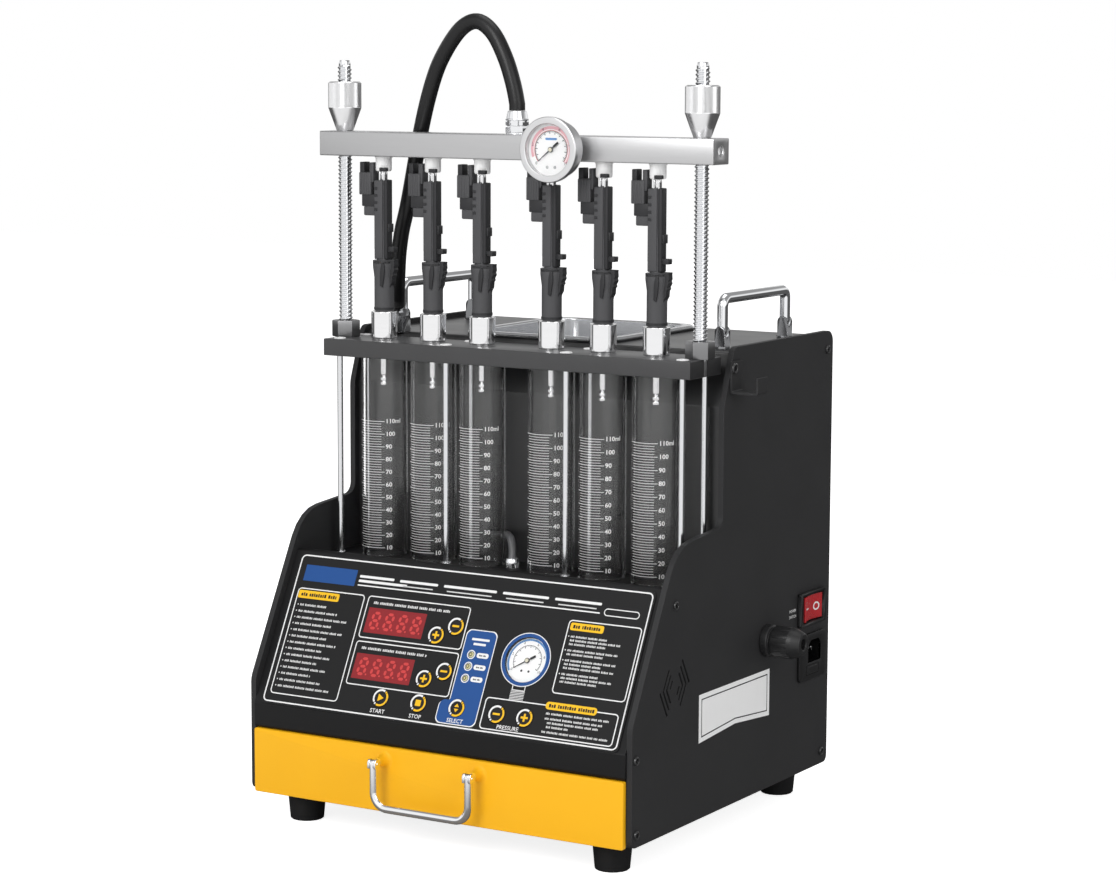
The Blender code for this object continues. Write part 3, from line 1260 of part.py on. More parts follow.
def bath_tank():
    """A pressed tub: rim over the cover, tapered walls and a flat floor with its transducers bonded on."""
    def ring(half_x, half_y, radius):
        return box_outline(half_x, half_y, radius, (BATH_X, BATH_Y))

    rim_x = BATH_RIM_HALF_X
    rim_y = BATH_RIM_HALF_Y
    wall_x = rim_x - BATH_RIM_W
    wall_y = rim_y - BATH_RIM_W
    top = COVER_SEAT_Z + BATH_RIM_H
    floor = COVER_Z - BATH_DEPTH
    corner = BATH_CORNER_R
    levels = [
        (ring(wall_x - BATH_TAPER, wall_y - BATH_TAPER, corner), floor),
        (ring(wall_x, wall_y, corner), COVER_SEAT_Z),
        (ring(rim_x, rim_y, corner), COVER_SEAT_Z),
        (ring(rim_x, rim_y, corner), top - BATH_RIM_ROLL),
        (ring(rim_x - BATH_RIM_ROLL, rim_y - BATH_RIM_ROLL, corner), top),
        (ring(wall_x - BATH_T + BATH_RIM_ROLL, wall_y - BATH_T + BATH_RIM_ROLL, corner), top),
        (ring(wall_x - BATH_T, wall_y - BATH_T, corner), top - BATH_RIM_ROLL),
        (ring(wall_x - BATH_TAPER - BATH_T, wall_y - BATH_TAPER - BATH_T, corner), floor + BATH_T),
    ]
    tank = piece("bath_tank", stacked(levels), "steel")
    places = [(BATH_X + x * TRANSDUCER_SPREAD, BATH_Y + y * TRANSDUCER_SPREAD, floor) for x in (-1, 1) for y in (-1, 1)]
    unite(tank, copies(transducer, places), "transducers")


def transducer():
    return turned([(0.0, SINK / 2), (TRANSDUCER_R, SINK / 2), (TRANSDUCER_R, 0.0), (TRANSDUCER_NECK_R, -TRANSDUCER_H),
                   (TRANSDUCER_NECK_R, -TRANSDUCER_NECK_H), (0.0, -TRANSDUCER_NECK_H)], MEDIUM_SIDES)


def carry_handles():
    pivot_z = COVER_Z + CARRY_PIVOT_H
    across = Matrix.Rotation(math.pi / 2, 4, "Z")
    low_z = pivot_z + TONGUE_REACH - FIT
    for name, side in (("carry_handle_left", -1), ("carry_handle_right", 1)):
        x = side * CARRY_X
        path = rounded([(CARRY_FRONT_Y, low_z, 0.0), (CARRY_FRONT_Y, CARRY_TOP_Z, CARRY_BEND_R),
                        (CARRY_BACK_Y, CARRY_TOP_Z, CARRY_BEND_R), (CARRY_BACK_Y, low_z, 0.0)], closed=False)
        bar = swept([(x, y, z) for y, z in path], CARRY_R)
        turns = [(across, (x, y, pivot_z)) for y in (CARRY_FRONT_Y, CARRY_BACK_Y)]
        bow_handle(name, "chrome", bar, turns, (x, (CARRY_FRONT_Y + CARRY_BACK_Y) / 2, pivot_z))


def rocker_switch():
    """A rocker in its bezel: the bezel's rim lies on the side plate and its body goes through."""
    face = PLATE_OUTER_X + FIT
    rim = box_outline(SWITCH_HALF_Y, SWITCH_HALF_Z, SWITCH_CORNER_R, (SWITCH_Y, SWITCH_Z))
    body = box_outline(SWITCH_BODY_HALF_Y, SWITCH_BODY_HALF_Z, SWITCH_CORNER_R, (SWITCH_Y, SWITCH_Z))
    well = box_outline(ROCKER_HALF_Y + ROCKER_FIT, ROCKER_HALF_Z + ROCKER_FIT, 0.0, (SWITCH_Y, SWITCH_Z))
    bezel = piece("switch_bezel", prism(rim, face, face + SWITCH_RISE, "x"), "dark_plastic")
    unite(bezel, prism(body, face - SWITCH_BODY_DEPTH, face + SWITCH_RISE / 2, "x"), "body")
    cut(bezel, prism(well, face - ROCKER_WELL, face + SWITCH_RISE + CUT, "x"), "well")
    pivot_x = face + SWITCH_RISE - ROCKER_PIVOT_DEPTH
    reach = ROCKER_HALF_Y
    deep = ROCKER_PIVOT_DEPTH - ROCKER_SAG
    outline = [(-reach, deep + ROCKER_SAG / 2), (-reach * 0.5, deep - ROCKER_SAG / 4), (0.0, deep - ROCKER_SAG / 2),
               (reach * 0.5, deep - ROCKER_SAG / 4), (reach, deep + ROCKER_SAG / 2), (reach * 0.86, -ROCKER_SAG / 2),
               (reach * 0.4, -ROCKER_SAG), (-reach * 0.4, -ROCKER_SAG), (-reach * 0.86, -ROCKER_SAG / 2)]
    half_z = ROCKER_HALF_Z
    rocker = placed(prism([(x, -y) for y, x in outline], -half_z, half_z), Matrix.Scale(-1.0, 4, (0.0, 1.0, 0.0)),
                    Matrix.Rotation(ROCKER_TILT, 4, "Z"), (pivot_x, SWITCH_Y, SWITCH_Z))
    piece("rocker_switch", rocker, "red", (pivot_x, SWITCH_Y, SWITCH_Z))


def power_inlet():
    face = PLATE_OUTER_X + FIT
    front = face + INLET_RISE
    rim = box_outline(INLET_HALF_Y, INLET_HALF_Z, INLET_CORNER_R, (INLET_Y, INLET_Z))
    body = box_outline(INLET_BODY_HALF_Y, INLET_BODY_HALF_Z, SWITCH_CORNER_R, (INLET_Y, INLET_Z))
    inlet = piece("power_inlet", prism(rim, face, front, "x"), "dark_plastic")
    unite(inlet, prism(body, face - INLET_BODY_DEPTH, front - INLET_RISE / 2, "x"), "body")
    y, z = INLET_CAVITY_Y, INLET_CAVITY_Z
    half_y, half_z, slant = INLET_CAVITY_HALF_Y, INLET_CAVITY_HALF_Z, INLET_CAVITY_CUT
    cavity = [(y - half_y, z - half_z), (y + half_y, z - half_z), (y + half_y, z + half_z - slant),
              (y + half_y - slant, z + half_z), (y - half_y + slant, z + half_z), (y - half_y, z + half_z - slant)]
    floor = front - INLET_CAVITY_DEPTH
    fuse = box_outline(FUSE_HALF_Y, FUSE_HALF_Z, FIT, (INLET_Y, INLET_CAVITY_Z - FUSE_DROP))
    cut(inlet, joined(prism(cavity, floor, front + CUT, "x"), prism(fuse, front - FUSE_DEPTH, front + CUT, "x")),
        "cavity")
    pins = []
    for offset, drop in ((-INLET_PIN_SPREAD, 0.0), (0.0, INLET_PIN_DROP), (INLET_PIN_SPREAD, 0.0)):
        pin = box_outline(INLET_PIN_HALF_Y, INLET_PIN_HALF_Z, 0.0, (y + offset, z + drop))
        pins.append(prism(pin, floor - FIT, floor + INLET_PIN_LONG, "x"))
    unite(inlet, joined(*pins), "pins")


def cable_gland():
    """A hexagon flange, a ribbed dome nut with its bore, and a stem through the side plate."""
    end = FIT + GLAND_REACH - FIT
    cap = GLAND_HEX_H + GLAND_GROOVE
    shoulder = cap + GLAND_CAP_H
    shape = turned([
        (GLAND_BORE_R, -GLAND_STEM_DEPTH), (GLAND_STEM_R, -GLAND_STEM_DEPTH), (GLAND_STEM_R, FIT), (GLAND_R, FIT),
        (GLAND_R, GLAND_HEX_H), (GLAND_R - GLAND_GROOVE, GLAND_HEX_H), (GLAND_R - GLAND_GROOVE, cap), (GLAND_R, cap),
        (GLAND_R, shoulder), ((GLAND_R + GLAND_END_R) / 2 + GLAND_GROOVE, (shoulder + end) / 2 + GLAND_GROOVE),
        (GLAND_END_R, end), (GLAND_BORE_R, end),
    ], MEDIUM_SIDES, ring=True)
    piece("cable_gland", placed(shape, ALONG_X, (PLATE_OUTER_X, GLAND_Y, GLAND_Z)), "rubber")


def hook_bracket():
    wall_x = PLATE_OUTER_X + FIT
    path = rounded([
        (wall_x, HOOK_TOP_Z, 0.0),
        (wall_x, HOOK_SHELF_Z, HOOK_R),
        (PLATE_OUTER_X + HOOK_REACH, HOOK_SHELF_Z, HOOK_R),
        (PLATE_OUTER_X + HOOK_REACH, HOOK_SHELF_Z + HOOK_LIP_H, 0.0),
    ], closed=False)
    outline = list(path) + offset_path(path, -HOOK_T)[::-1]
    piece("hook_bracket", prism(outline, HOOK_Y - HOOK_HALF_W, HOOK_Y + HOOK_HALF_W, "y"), "plate_coat")


# Inside the case

def fluid_tank():
    half_x = (TANK_LEFT_X - TANK_RIGHT_X) / 2
    half_y = (TANK_BACK_Y - TANK_FRONT_Y) / 2
    centre = (-(TANK_LEFT_X + TANK_RIGHT_X) / 2, (TANK_BACK_Y + TANK_FRONT_Y) / 2)
    top = DECK_SEAT_Z + TANK_H
    tank = piece("fluid_tank", prism(box_outline(half_x, half_y, TANK_CORNER_R, centre), DECK_SEAT_Z, top), "tank")
    unite(tank, placed(cylinder(TANK_CAP_R, top - FIT, top + TANK_CAP_H), (*centre, 0.0)), "cap")


def power_supply():
    centre = (0.0, (SUPPLY_FRONT_Y + SUPPLY_BACK_Y) / 2)
    half_y = (SUPPLY_BACK_Y - SUPPLY_FRONT_Y) / 2
    top = DECK_SEAT_Z + SUPPLY_H
    supply = piece("power_supply", prism(box_outline(SUPPLY_HALF_X, half_y, 0.0, centre), DECK_SEAT_Z, top), "zinc")
    slots = []
    for index in range(SUPPLY_SLOT_COUNT):
        y = centre[1] + (index - (SUPPLY_SLOT_COUNT - 1) / 2) * SUPPLY_SLOT_PITCH
        slot = box_outline(SUPPLY_HALF_X * 0.7, SUPPLY_SLOT_W / 2, 0.0, (0.0, y))
        slots.append(prism(slot, top - SUPPLY_SLOT_DEPTH, top + CUT))
    cut(supply, joined(*slots), "slots")


def fluid_pump():
    """A motor lying along Y on its foot, with a round pump head at its front."""
    axis_z = DECK_SEAT_Z + PUMP_FOOT_T + PUMP_HEAD_R
    head_y = PUMP_Y - PUMP_HEAD_L
    shape = turned([(0.0, head_y), (PUMP_HEAD_R, head_y), (PUMP_HEAD_R, PUMP_Y), (PUMP_R, PUMP_Y),
                    (PUMP_R, PUMP_Y + PUMP_L), (0.0, PUMP_Y + PUMP_L)], MEDIUM_SIDES)
    pump = piece("fluid_pump", placed(shape, ALONG_Y, (PUMP_X, 0.0, axis_z)), "dark_plastic")
    foot = box_outline(PUMP_FOOT_HALF_X, (PUMP_L + PUMP_HEAD_L) / 2 - FIT, 0.0,
                       (PUMP_X, PUMP_Y + (PUMP_L - PUMP_HEAD_L) / 2))
    web = box_outline(PUMP_R / 2, PUMP_L / 2 - FIT, 0.0, (PUMP_X, PUMP_Y + PUMP_L / 2))
    unite(pump, prism(foot, DECK_SEAT_Z, DECK_SEAT_Z + PUMP_FOOT_T + FIT), "foot")
    unite(pump, prism(web, DECK_SEAT_Z + PUMP_FOOT_T / 2, axis_z - PUMP_R / 2), "web")


side_plates()
bottom_pan()
inner_deck()
rubber_feet()
front_panel()
upper_cover()
back_panel()
drawer_front()
drawer_box()
drawer_handle()
panel_overlay()
keys()
panel_gauge()
control_board()
measuring_tubes()
socket_plate()
threaded_rods()
rail()
knurled_nuts()
fuel_injectors()
rail_gauge()
hose()
bath_tank()
carry_handles()
rocker_switch()
power_inlet()
cable_gland()
hook_bracket()
fluid_tank()
power_supply()
fluid_pump()
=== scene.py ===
import math

import bmesh
import bpy
from mathutils import Matrix, Vector
from mathutils.bvhtree import BVHTree


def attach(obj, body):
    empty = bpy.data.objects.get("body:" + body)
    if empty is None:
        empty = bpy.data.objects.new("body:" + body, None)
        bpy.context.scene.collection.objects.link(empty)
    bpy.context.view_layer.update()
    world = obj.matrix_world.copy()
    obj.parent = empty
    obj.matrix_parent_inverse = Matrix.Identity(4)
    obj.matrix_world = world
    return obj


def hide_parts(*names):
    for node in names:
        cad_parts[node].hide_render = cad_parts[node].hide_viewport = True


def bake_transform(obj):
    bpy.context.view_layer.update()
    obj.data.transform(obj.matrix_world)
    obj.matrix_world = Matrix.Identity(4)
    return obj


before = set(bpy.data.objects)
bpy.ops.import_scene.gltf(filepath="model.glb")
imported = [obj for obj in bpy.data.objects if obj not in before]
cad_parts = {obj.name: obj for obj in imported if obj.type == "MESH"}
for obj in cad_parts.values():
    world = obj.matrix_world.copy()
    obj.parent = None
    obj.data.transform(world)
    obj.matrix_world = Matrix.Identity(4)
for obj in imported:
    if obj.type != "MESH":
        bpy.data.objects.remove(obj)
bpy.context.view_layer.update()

# The machine's own frame, in millimetres: X from the middle, Y from the drawer's face, Z from the floor
MM = 0.001
MIDDLE_X = 15.05
MIDDLE_Y = 166.7
MACHINE = Matrix.Translation((-MIDDLE_X * MM, -MIDDLE_Y * MM, 0.0)) @ Matrix.Scale(MM, 4)

# The control panel's frame: X across, Y up the slope, Z out of the printed film
PANEL_TILT = math.radians(62.75)
PANEL = MACHINE @ Matrix.Translation((0.0, 2.3, 106.4)) @ Matrix.Rotation(PANEL_TILT, 4, "X")

# The right side plate's outer face: X towards the back, Y up, Z outwards
PLATE_OUTER_X = 186.1
RIGHT_FACE = MACHINE @ Matrix(((0, 0, 1, PLATE_OUTER_X), (1, 0, 0, 0), (0, 1, 0, 0), (0, 0, 0, 1)))
LEFT_FACE = MACHINE @ Matrix(((0, 0, -1, -PLATE_OUTER_X), (-1, 0, 0, 0), (0, 1, 0, 0), (0, 0, 0, 1)))

# Tube bay and rail
TUBE_XS = (-134.5, -84.0, -34.3, 34.3, 84.0, 134.5)
TUBE_Y = 130.6
TUBE_LOW = 217.3
TUBE_HIGH = 389.9
TUBE_R = 20.0
TUBE_BORE_R = 17.0
ROD_X = 174.8
SUPPORT_PLACES = [(x, y) for x in (-168.7, -59.2, 59.2, 168.7) for y in (112.7, 150.8)]

# Panel layout in the panel's frame
KEYS = {
    "key_plus_upper": (-19.2, 74.3, "plus"),
    "key_minus_upper": (-2.3, 83.8, "minus"),
    "key_plus_lower": (-19.9, 36.4, "plus"),
    "key_minus_lower": (-2.5, 44.7, "minus"),
    "key_start": (-56.4, 15.6, "start"),
    "key_stop": (-19.05, 15.6, "stop"),
    "key_select": (18.4, 15.9, "select"),
    "key_pressure_minus": (57.0, 15.5, "minus"),
    "key_pressure_plus": (83.5, 15.6, "plus"),
}
LAMP_X = 19.03
LAMP_HEIGHTS = (41.45, 51.67, 61.82)
WINDOWS = ((-62.0, 80.2), (-62.0, 40.1))
WINDOW_HALF = (29.1, 11.0)
DIAL = (71.1, 63.3)
DIAL_R = 18.8


# Finishes

def linear(red, green, blue):
    """A colour given as it shows, on 0 to 255, as the shader's own colour."""
    def channel(value):
        value /= 255.0
        return value / 12.92 if value <= 0.04045 else ((value + 0.055) / 1.055) ** 2.4
    return channel(red), channel(green), channel(blue), 1.0


class Net:
    """The nodes of a finish or of the world. A socket takes a constant, or the output that feeds it."""

    def __init__(self, owner):
        owner.use_nodes = True
        self.tree = owner.node_tree

    def fill(self, node, sockets):
        for socket, value in sockets.items():
            if isinstance(value, bpy.types.NodeSocket):
                self.tree.links.new(value, node.inputs[socket])
            else:
                node.inputs[socket].default_value = value
        return node

    def add(self, kind, sockets=None, mode=None):
        node = self.tree.nodes.new("ShaderNode" + kind)
        if mode and kind == "MapRange":
            node.interpolation_type = mode
        elif mode and kind == "Mix":
            node.data_type = mode
        elif mode:
            node.operation = mode
        return self.fill(node, sockets or {})

    def noise(self, vector, scale, detail=2.0):
        return self.add("TexNoise", {"Vector": vector, "Scale": scale, "Detail": detail}).outputs["Fac"]

    def graded(self, value, low, high, start=0.0, end=1.0, mode="LINEAR"):
        spans = {"From Min": low, "From Max": high, "To Min": start, "To Max": end}
        return self.add("MapRange", {"Value": value, **spans}, mode).outputs["Result"]

    def mixed(self, share, first, second, mode="RGBA"):
        at_first, out = (6, 2) if mode == "RGBA" else (2, 0)
        return self.add("Mix", {0: share, at_first: first, at_first + 1: second}, mode).outputs[out]

    def sum(self, mode, first, second):
        return self.add("Math", {0: first, 1: second}, mode).outputs["Value"]

    def blended(self, share, first, second):
        return self.add("MixShader", {"Fac": share, 1: first, 2: second}).outputs["Shader"]


def surface(name, shown, spread=0.12, rough=(0.4, 0.5), metal=0.0, tone=25.0, grain=700.0, depth=0.02,
            stretch=(1.0, 1.0, 1.0), rounded=0.0, edge_wear_and_highlight=None, coat=0.0, clear=0.0, index=1.45, shine=0.5, haze=0.0):
    """A finish with clouded colour, uneven gloss, a fine grain, and softened edges that can be lightened, partly as
    edge wear and partly as a painted highlight.
    """
    material = bpy.data.materials.new(name)
    net = Net(material)
    shader = net.tree.nodes["Principled BSDF"]
    net.fill(shader, {"Metallic": metal, "Coat Weight": coat, "Transmission Weight": clear, "IOR": index,
                      "Specular IOR Level": shine})
    place = net.add("TexCoord").outputs["Object"]
    scaled = net.add("Mapping", {"Vector": place, "Scale": stretch}).outputs["Vector"]
    cloud = net.noise(scaled, tone, 5.0)
    colour = linear(*shown)[:3]
    shade = net.mixed(cloud, tuple(value * (1.0 - spread) for value in colour) + (1.0,),
                      tuple(min(value * (1.0 + spread), 1.0) for value in colour) + (1.0,))
    net.fill(shader, {"Roughness": net.graded(cloud, 0.0, 1.0, *rough)})
    if clear:
        net.fill(shader, {"Base Color": shade})
        if haze:
            veil = net.add("BsdfPrincipled", {"Base Color": linear(*HAZE_SHOWN), "Roughness": 0.5})
            rim = net.add("LayerWeight", {"Blend": 0.5}).outputs["Facing"]
            fade = net.graded(rim, 0.01, 0.42, haze, haze * 0.1, "SMOOTHSTEP")
            both = net.blended(fade, shader.outputs["BSDF"], veil.outputs["BSDF"])
            net.fill(net.tree.nodes["Material Output"], {"Surface": both})
        return material
    bump = net.add("Bump", {"Strength": 0.6, "Distance": depth * MM, "Height": net.noise(scaled, grain)})
    net.fill(shader, {"Normal": bump.outputs["Normal"]})
    if rounded:
        softened = net.add("Bevel", {"Radius": rounded * MM})
        softened.samples = 4
        net.fill(bump, {"Normal": softened.outputs["Normal"]})
        # lighter edges: partly edge wear, partly a painted highlight along the rounded edges
        if edge_wear_and_highlight:
            true_normal = net.add("NewGeometry").outputs["Normal"]
            turn = net.add("VectorMath", {0: softened.outputs["Normal"], 1: true_normal}, "DOT_PRODUCT")
            wear_and_highlight_mask = net.graded(turn.outputs["Value"], 0.985, 0.80, 0.0, 0.75)
            shade = net.mixed(wear_and_highlight_mask, shade, linear(*edge_wear_and_highlight))
    net.fill(shader, {"Base Color": shade})
    return material


HAZE_SHOWN = (226, 226, 227)
PLATED = {"metal": 1.0, "grain": 900.0, "depth": 0.001}
BRUSHED = {"metal": 1.0, "grain": 500.0}
# rounded edges lightened: a painted highlight along the socket plate's edges
ROUNDED_EDGE_HIGHLIGHT = {"rounded": 0.8, "edge_wear_and_highlight": (150, 150, 151)}
MOULDING = {"rough": (0.42, 0.55), "grain": 1500.0, "rounded": 0.3, "shine": 0.35}
PRINTED = {"rough": (0.36, 0.44), "grain": 2200.0}
LIT = {"rough": (0.2, 0.3), "grain": 1800.0, "depth": 0.004}
INKED = {"grain": 900.0, "depth": 0.004}
CLEAR = {"spread": 0.01, "rough": (0.0, 0.01), "tone": 60.0, "clear": 1.0}

BLACK_COAT = surface("black_powder_coat", (22, 22, 23), rough=(0.42, 0.54), grain=1500.0, rounded=0.7,
                     edge_wear_and_highlight=(66, 66, 67), shine=0.22)
COVER_COAT = surface("cover_coat", (30, 30, 31), rough=(0.3, 0.4), grain=1500.0, depth=0.012, rounded=0.7,
                     edge_wear_and_highlight=(66, 66, 67), shine=0.7)
PLATE_COAT = surface("side_plate_coat", (47, 47, 48), rough=(0.48, 0.6), grain=1300.0, depth=0.03, rounded=0.8,
                     edge_wear_and_highlight=(64, 64, 65), shine=0.25)
SOCKET_COAT = surface("socket_plate_black", (66, 66, 67), rough=(0.3, 0.4), grain=1800.0, depth=0.008, shine=0.4,
                      **ROUNDED_EDGE_HIGHLIGHT)
# a darker copy of the plate's coat for its end faces: painted shade
SOCKET_END_SHADE = surface("socket_plate_end_painted_shade", (44, 44, 45), rough=(0.34, 0.44), grain=1800.0, depth=0.008, shine=0.3,
                     **ROUNDED_EDGE_HIGHLIGHT)
LOCK_NUT = surface("blackened_nut", (134, 134, 135), 0.05, (0.26, 0.34), 1.0, grain=900.0, depth=0.004, rounded=0.5)
YELLOW_COAT = surface("drawer_yellow", (255, 188, 26), 0.03, (0.36, 0.46), grain=1100.0, depth=0.012, rounded=0.9,
                      edge_wear_and_highlight=(255, 206, 84), shine=0.3)
CHROME = surface("bright_chrome", (240, 241, 243), 0.03, (0.03, 0.06), 1.0, grain=900.0, depth=0.0006)
FORK_STEEL = surface("plated_fork", (128, 129, 131), 0.05, (0.1, 0.18), rounded=0.3, edge_wear_and_highlight=(240, 240, 241), **PLATED)
SOCKET_STEEL = surface("plated_socket", (226, 227, 229), 0.04, (0.14, 0.2), **PLATED)
CHROME_THREAD = surface("plated_thread", (232, 233, 235), 0.05, (0.08, 0.14), **PLATED)
# a darker copy of the thread's plating for its roots: painted shade in the grooves
THREAD_ROOT_SHADE = surface("thread_root_painted_shade", (104, 105, 107), 0.08, (0.2, 0.3), **PLATED)
STEEL = surface("turned_steel", (240, 240, 241), 0.03, (0.06, 0.1), 1.0, 60.0, 400.0, 0.0008, (1.0, 1.0, 8.0))
NUT_STEEL = surface("knurled_steel", (232, 232, 233), 0.08, (0.2, 0.3), tone=300.0, depth=0.002,
                    stretch=(1.0, 1.0, 0.02), **BRUSHED)
GAUGE_STEEL = surface("gauge_steel", (216, 216, 217), 0.03, (0.3, 0.38), tone=60.0, depth=0.002,
                      stretch=(1.0, 12.0, 1.0), **BRUSHED)
BATH_STEEL = surface("pressed_steel", (214, 215, 217), 0.05, (0.18, 0.3), tone=40.0, depth=0.003,
                     stretch=(1.0, 9.0, 1.0), **BRUSHED)
SATIN_STEEL = surface("satin_steel", (188, 189, 190), 0.06, (0.28, 0.4), tone=50.0, depth=0.004,
                      stretch=(1.0, 10.0, 1.0), **BRUSHED)
ALUMINIUM = surface("drawn_aluminium", (190, 190, 191), 0.03, (0.3, 0.38), 0.85, 30.0, 420.0, 0.003,
                    (1.0, 22.0, 22.0), 0.9, (252, 252, 252))
ZINC = surface("zinc_sheet", (112, 114, 116), 0.1, (0.34, 0.5), 1.0, grain=300.0, depth=0.01, rounded=0.5)
HOOK_COAT = surface("hook_coat", (46, 46, 47), grain=1300.0, rounded=0.5, edge_wear_and_highlight=(62, 62, 63), shine=0.3)
RUBBER = surface("foot_rubber", (27, 27, 28), rough=(0.6, 0.75), grain=900.0, depth=0.05, shine=0.3)
HOSE_RUBBER = surface("hose_rubber", (19, 19, 20), rough=(0.3, 0.42), grain=1200.0, depth=0.03, shine=0.4)
DRAIN_HOSE = surface("drain_hose", (104, 104, 106), 0.08, (0.35, 0.45), grain=900.0)
GLAND_NYLON = surface("gland_nylon", (30, 30, 31), rough=(0.36, 0.48), grain=1300.0, depth=0.03)
MOULDED = surface("moulded_black", (24, 24, 25), rough=(0.38, 0.5), grain=1400.0, depth=0.03, rounded=0.4,
                  edge_wear_and_highlight=(58, 58, 59))
INJECTOR_GREY = surface("injector_grey", (76, 76, 78), edge_wear_and_highlight=(104, 104, 106), **MOULDING)
INJECTOR_DARK = surface("injector_dark", (44, 44, 46), edge_wear_and_highlight=(84, 84, 86), **MOULDING)
WHITE_PLASTIC = surface("coupler_white", (244, 244, 244), 0.03, (0.3, 0.42), grain=900.0, depth=0.01)
TUBE_GLASS = surface("tube_glass", (246, 246, 246), index=1.10, coat=0.5, haze=0.008, **CLEAR)
LENS_GLASS = surface("lens_glass", (252, 252, 252), index=1.25, **CLEAR)
FILM = surface("film_charcoal", (24, 24, 25), 0.05, depth=0.008, shine=0.24, **PRINTED)
FILM_BLUE = surface("film_blue", (30, 78, 144), 0.05, depth=0.008, shine=0.35, **PRINTED)
FILM_WHITE = surface("film_white", (240, 240, 240), 0.03, depth=0.004, **PRINTED)
FILM_GREY = surface("film_grey", (218, 218, 218), 0.06, depth=0.004, **PRINTED)
FILM_YELLOW = surface("film_yellow", (252, 196, 36), 0.04, depth=0.004, shine=0.35, **PRINTED)
# black print and caps; also painted shade lining the rail's bore ends
FILM_BLACK_AND_BORE_SHADE = surface("film_black_and_bore_shade", (16, 16, 17), 0.06, (0.34, 0.42), grain=2200.0, depth=0.004, shine=0.35)
WINDOW_RED = surface("window_red", (140, 22, 30), 0.12, **LIT)
SEGMENT_RED = surface("segment_red", (206, 62, 62), 0.08, **LIT)
ROCKER_RED = surface("rocker_red", (186, 40, 46), 0.05, (0.22, 0.34), grain=1200.0, depth=0.01)
SCALE_WHITE = surface("scale_white", (236, 236, 236), 0.03, **INKED)
DIAL_WHITE = surface("dial_white", (252, 252, 252), 0.02, **INKED)
DIAL_RED = surface("dial_red", (226, 120, 126), 0.05, **INKED)
DIAL_BLUE = surface("dial_blue", (90, 146, 206), 0.05, **INKED)
POINTER_BLACK = surface("pointer_black", (20, 22, 28), 0.08, (0.3, 0.4), **INKED)
LABEL_SILVER = surface("label_silver", (250, 250, 250), 0.015, (0.34, 0.44), stretch=(1.0, 12.0, 1.0), rounded=0.3,
                       **INKED)
# the lighter edge colour on the screw heads' rims is a painted highlight
SCREW_BLACK = surface("screw_black", (40, 40, 41), rough=(0.22, 0.34), grain=900.0, depth=0.01, rounded=0.4,
                      edge_wear_and_highlight=(118, 118, 119), coat=0.6)
# near-black painted shade for the screw recesses and the inlet's cavity; also the dark gap line round the fuse drawer
RECESS_SHADE_AND_GAP = surface("recess_shade_and_gap", (9, 9, 10), 0.2, (0.5, 0.65), grain=900.0, shine=0.2)
DIAL_PINK = surface("dial_pink", (238, 182, 190), 0.05, **INKED)
BOSS_CREAM = surface("boss_cream", (232, 226, 204), 0.05, (0.3, 0.4), **INKED)
BOARD_GREEN = surface("board_green", (24, 92, 58), 0.15, (0.3, 0.45), tone=120.0, grain=500.0, depth=0.03)
TANK_PLASTIC = surface("tank_plastic", (222, 222, 214), 0.04, grain=400.0)
LAMP_LENS = surface("lamp_lens", (206, 200, 150), 0.06, (0.12, 0.2), **INKED)


# Shapes: each gives a bmesh, and placed parts are gathered into one piece

def lathe(profile, sides=48):
    """Turns a profile of radius and height about Z."""
    shape = bmesh.new()
    corners = [shape.verts.new((radius, 0.0, height)) for radius, height in profile]
    chain = [shape.edges.new(pair) for pair in zip(corners, corners[1:])]
    bmesh.ops.spin(shape, geom=corners + chain, cent=(0, 0, 0), axis=(0, 0, 1), angle=math.tau, steps=sides,
                   use_merge=True)
    bmesh.ops.remove_doubles(shape, verts=shape.verts, dist=0.0005)
    return shape


def eased(points, reach, steps=2, closed=False):
    """Rounds the corners of a line of points, each corner over at most the given reach."""
    result = []
    for index, point in enumerate(points):
        if not closed and index in (0, len(points) - 1):
            result.append(tuple(point))
            continue
        here, before = Vector(point), Vector(points[index - 1])
        after = Vector(points[(index + 1) % len(points)])
        cut = min(reach, (before - here).length * 0.45, (after - here).length * 0.45)
        start = here + (before - here).normalized() * cut
        end = here + (after - here).normalized() * cut
        for step in range(steps + 1):
            along = step / steps
            result.append(tuple(start * (1 - along) ** 2 + here * 2 * along * (1 - along) + end * along ** 2))
    return result


def turned(points, reach, sides, steps=2):
    """Turns a profile about Z, its corners rounded first."""
    return lathe(eased(points, reach, steps), sides)


def ring(radius, sides=40, centre=(0.0, 0.0)):
    return [(centre[0] + radius * math.cos(math.tau * i / sides), centre[1] + radius * math.sin(math.tau * i / sides))
            for i in range(sides)]


def arc(radius, start, end, steps, centre=(0.0, 0.0)):
    """Points on an arc, with its angles in degrees."""
    angles = [math.radians(start + (end - start) * i / steps) for i in range(steps + 1)]
    return [(centre[0] + radius * math.cos(a), centre[1] + radius * math.sin(a)) for a in angles]


def arc_band(inner, outer, start, end, steps):
    return arc(outer, start, end, steps) + arc(inner, end, start, steps)


def oblong(half_x, half_y, radius=0.0, centre=(0.0, 0.0), steps=5):
    """A rectangle with round corners."""
    if not radius:
        return [(centre[0] + x, centre[1] + y) for x, y in
                ((-half_x, -half_y), (half_x, -half_y), (half_x, half_y), (-half_x, half_y))]
    outline = []
    for corner, (x, y) in enumerate(((1, 1), (-1, 1), (-1, -1), (1, -1))):
        middle = (centre[0] + x * (half_x - radius), centre[1] + y * (half_y - radius))
        outline += arc(radius, 90 * corner, 90 * corner + 90, steps, middle)
    return outline


def hexagon(flat):
    """A hexagon by the width over its flats."""
    return arc(flat / math.sqrt(3), 30, 330, 5)


def bevel(shape, edges, offset, segments, clamp=False):
    bmesh.ops.bevel(shape, geom=edges, offset=offset, offset_type="OFFSET", segments=segments, profile=0.5,
                    affect="EDGES", material=-1, clamp_overlap=clamp)


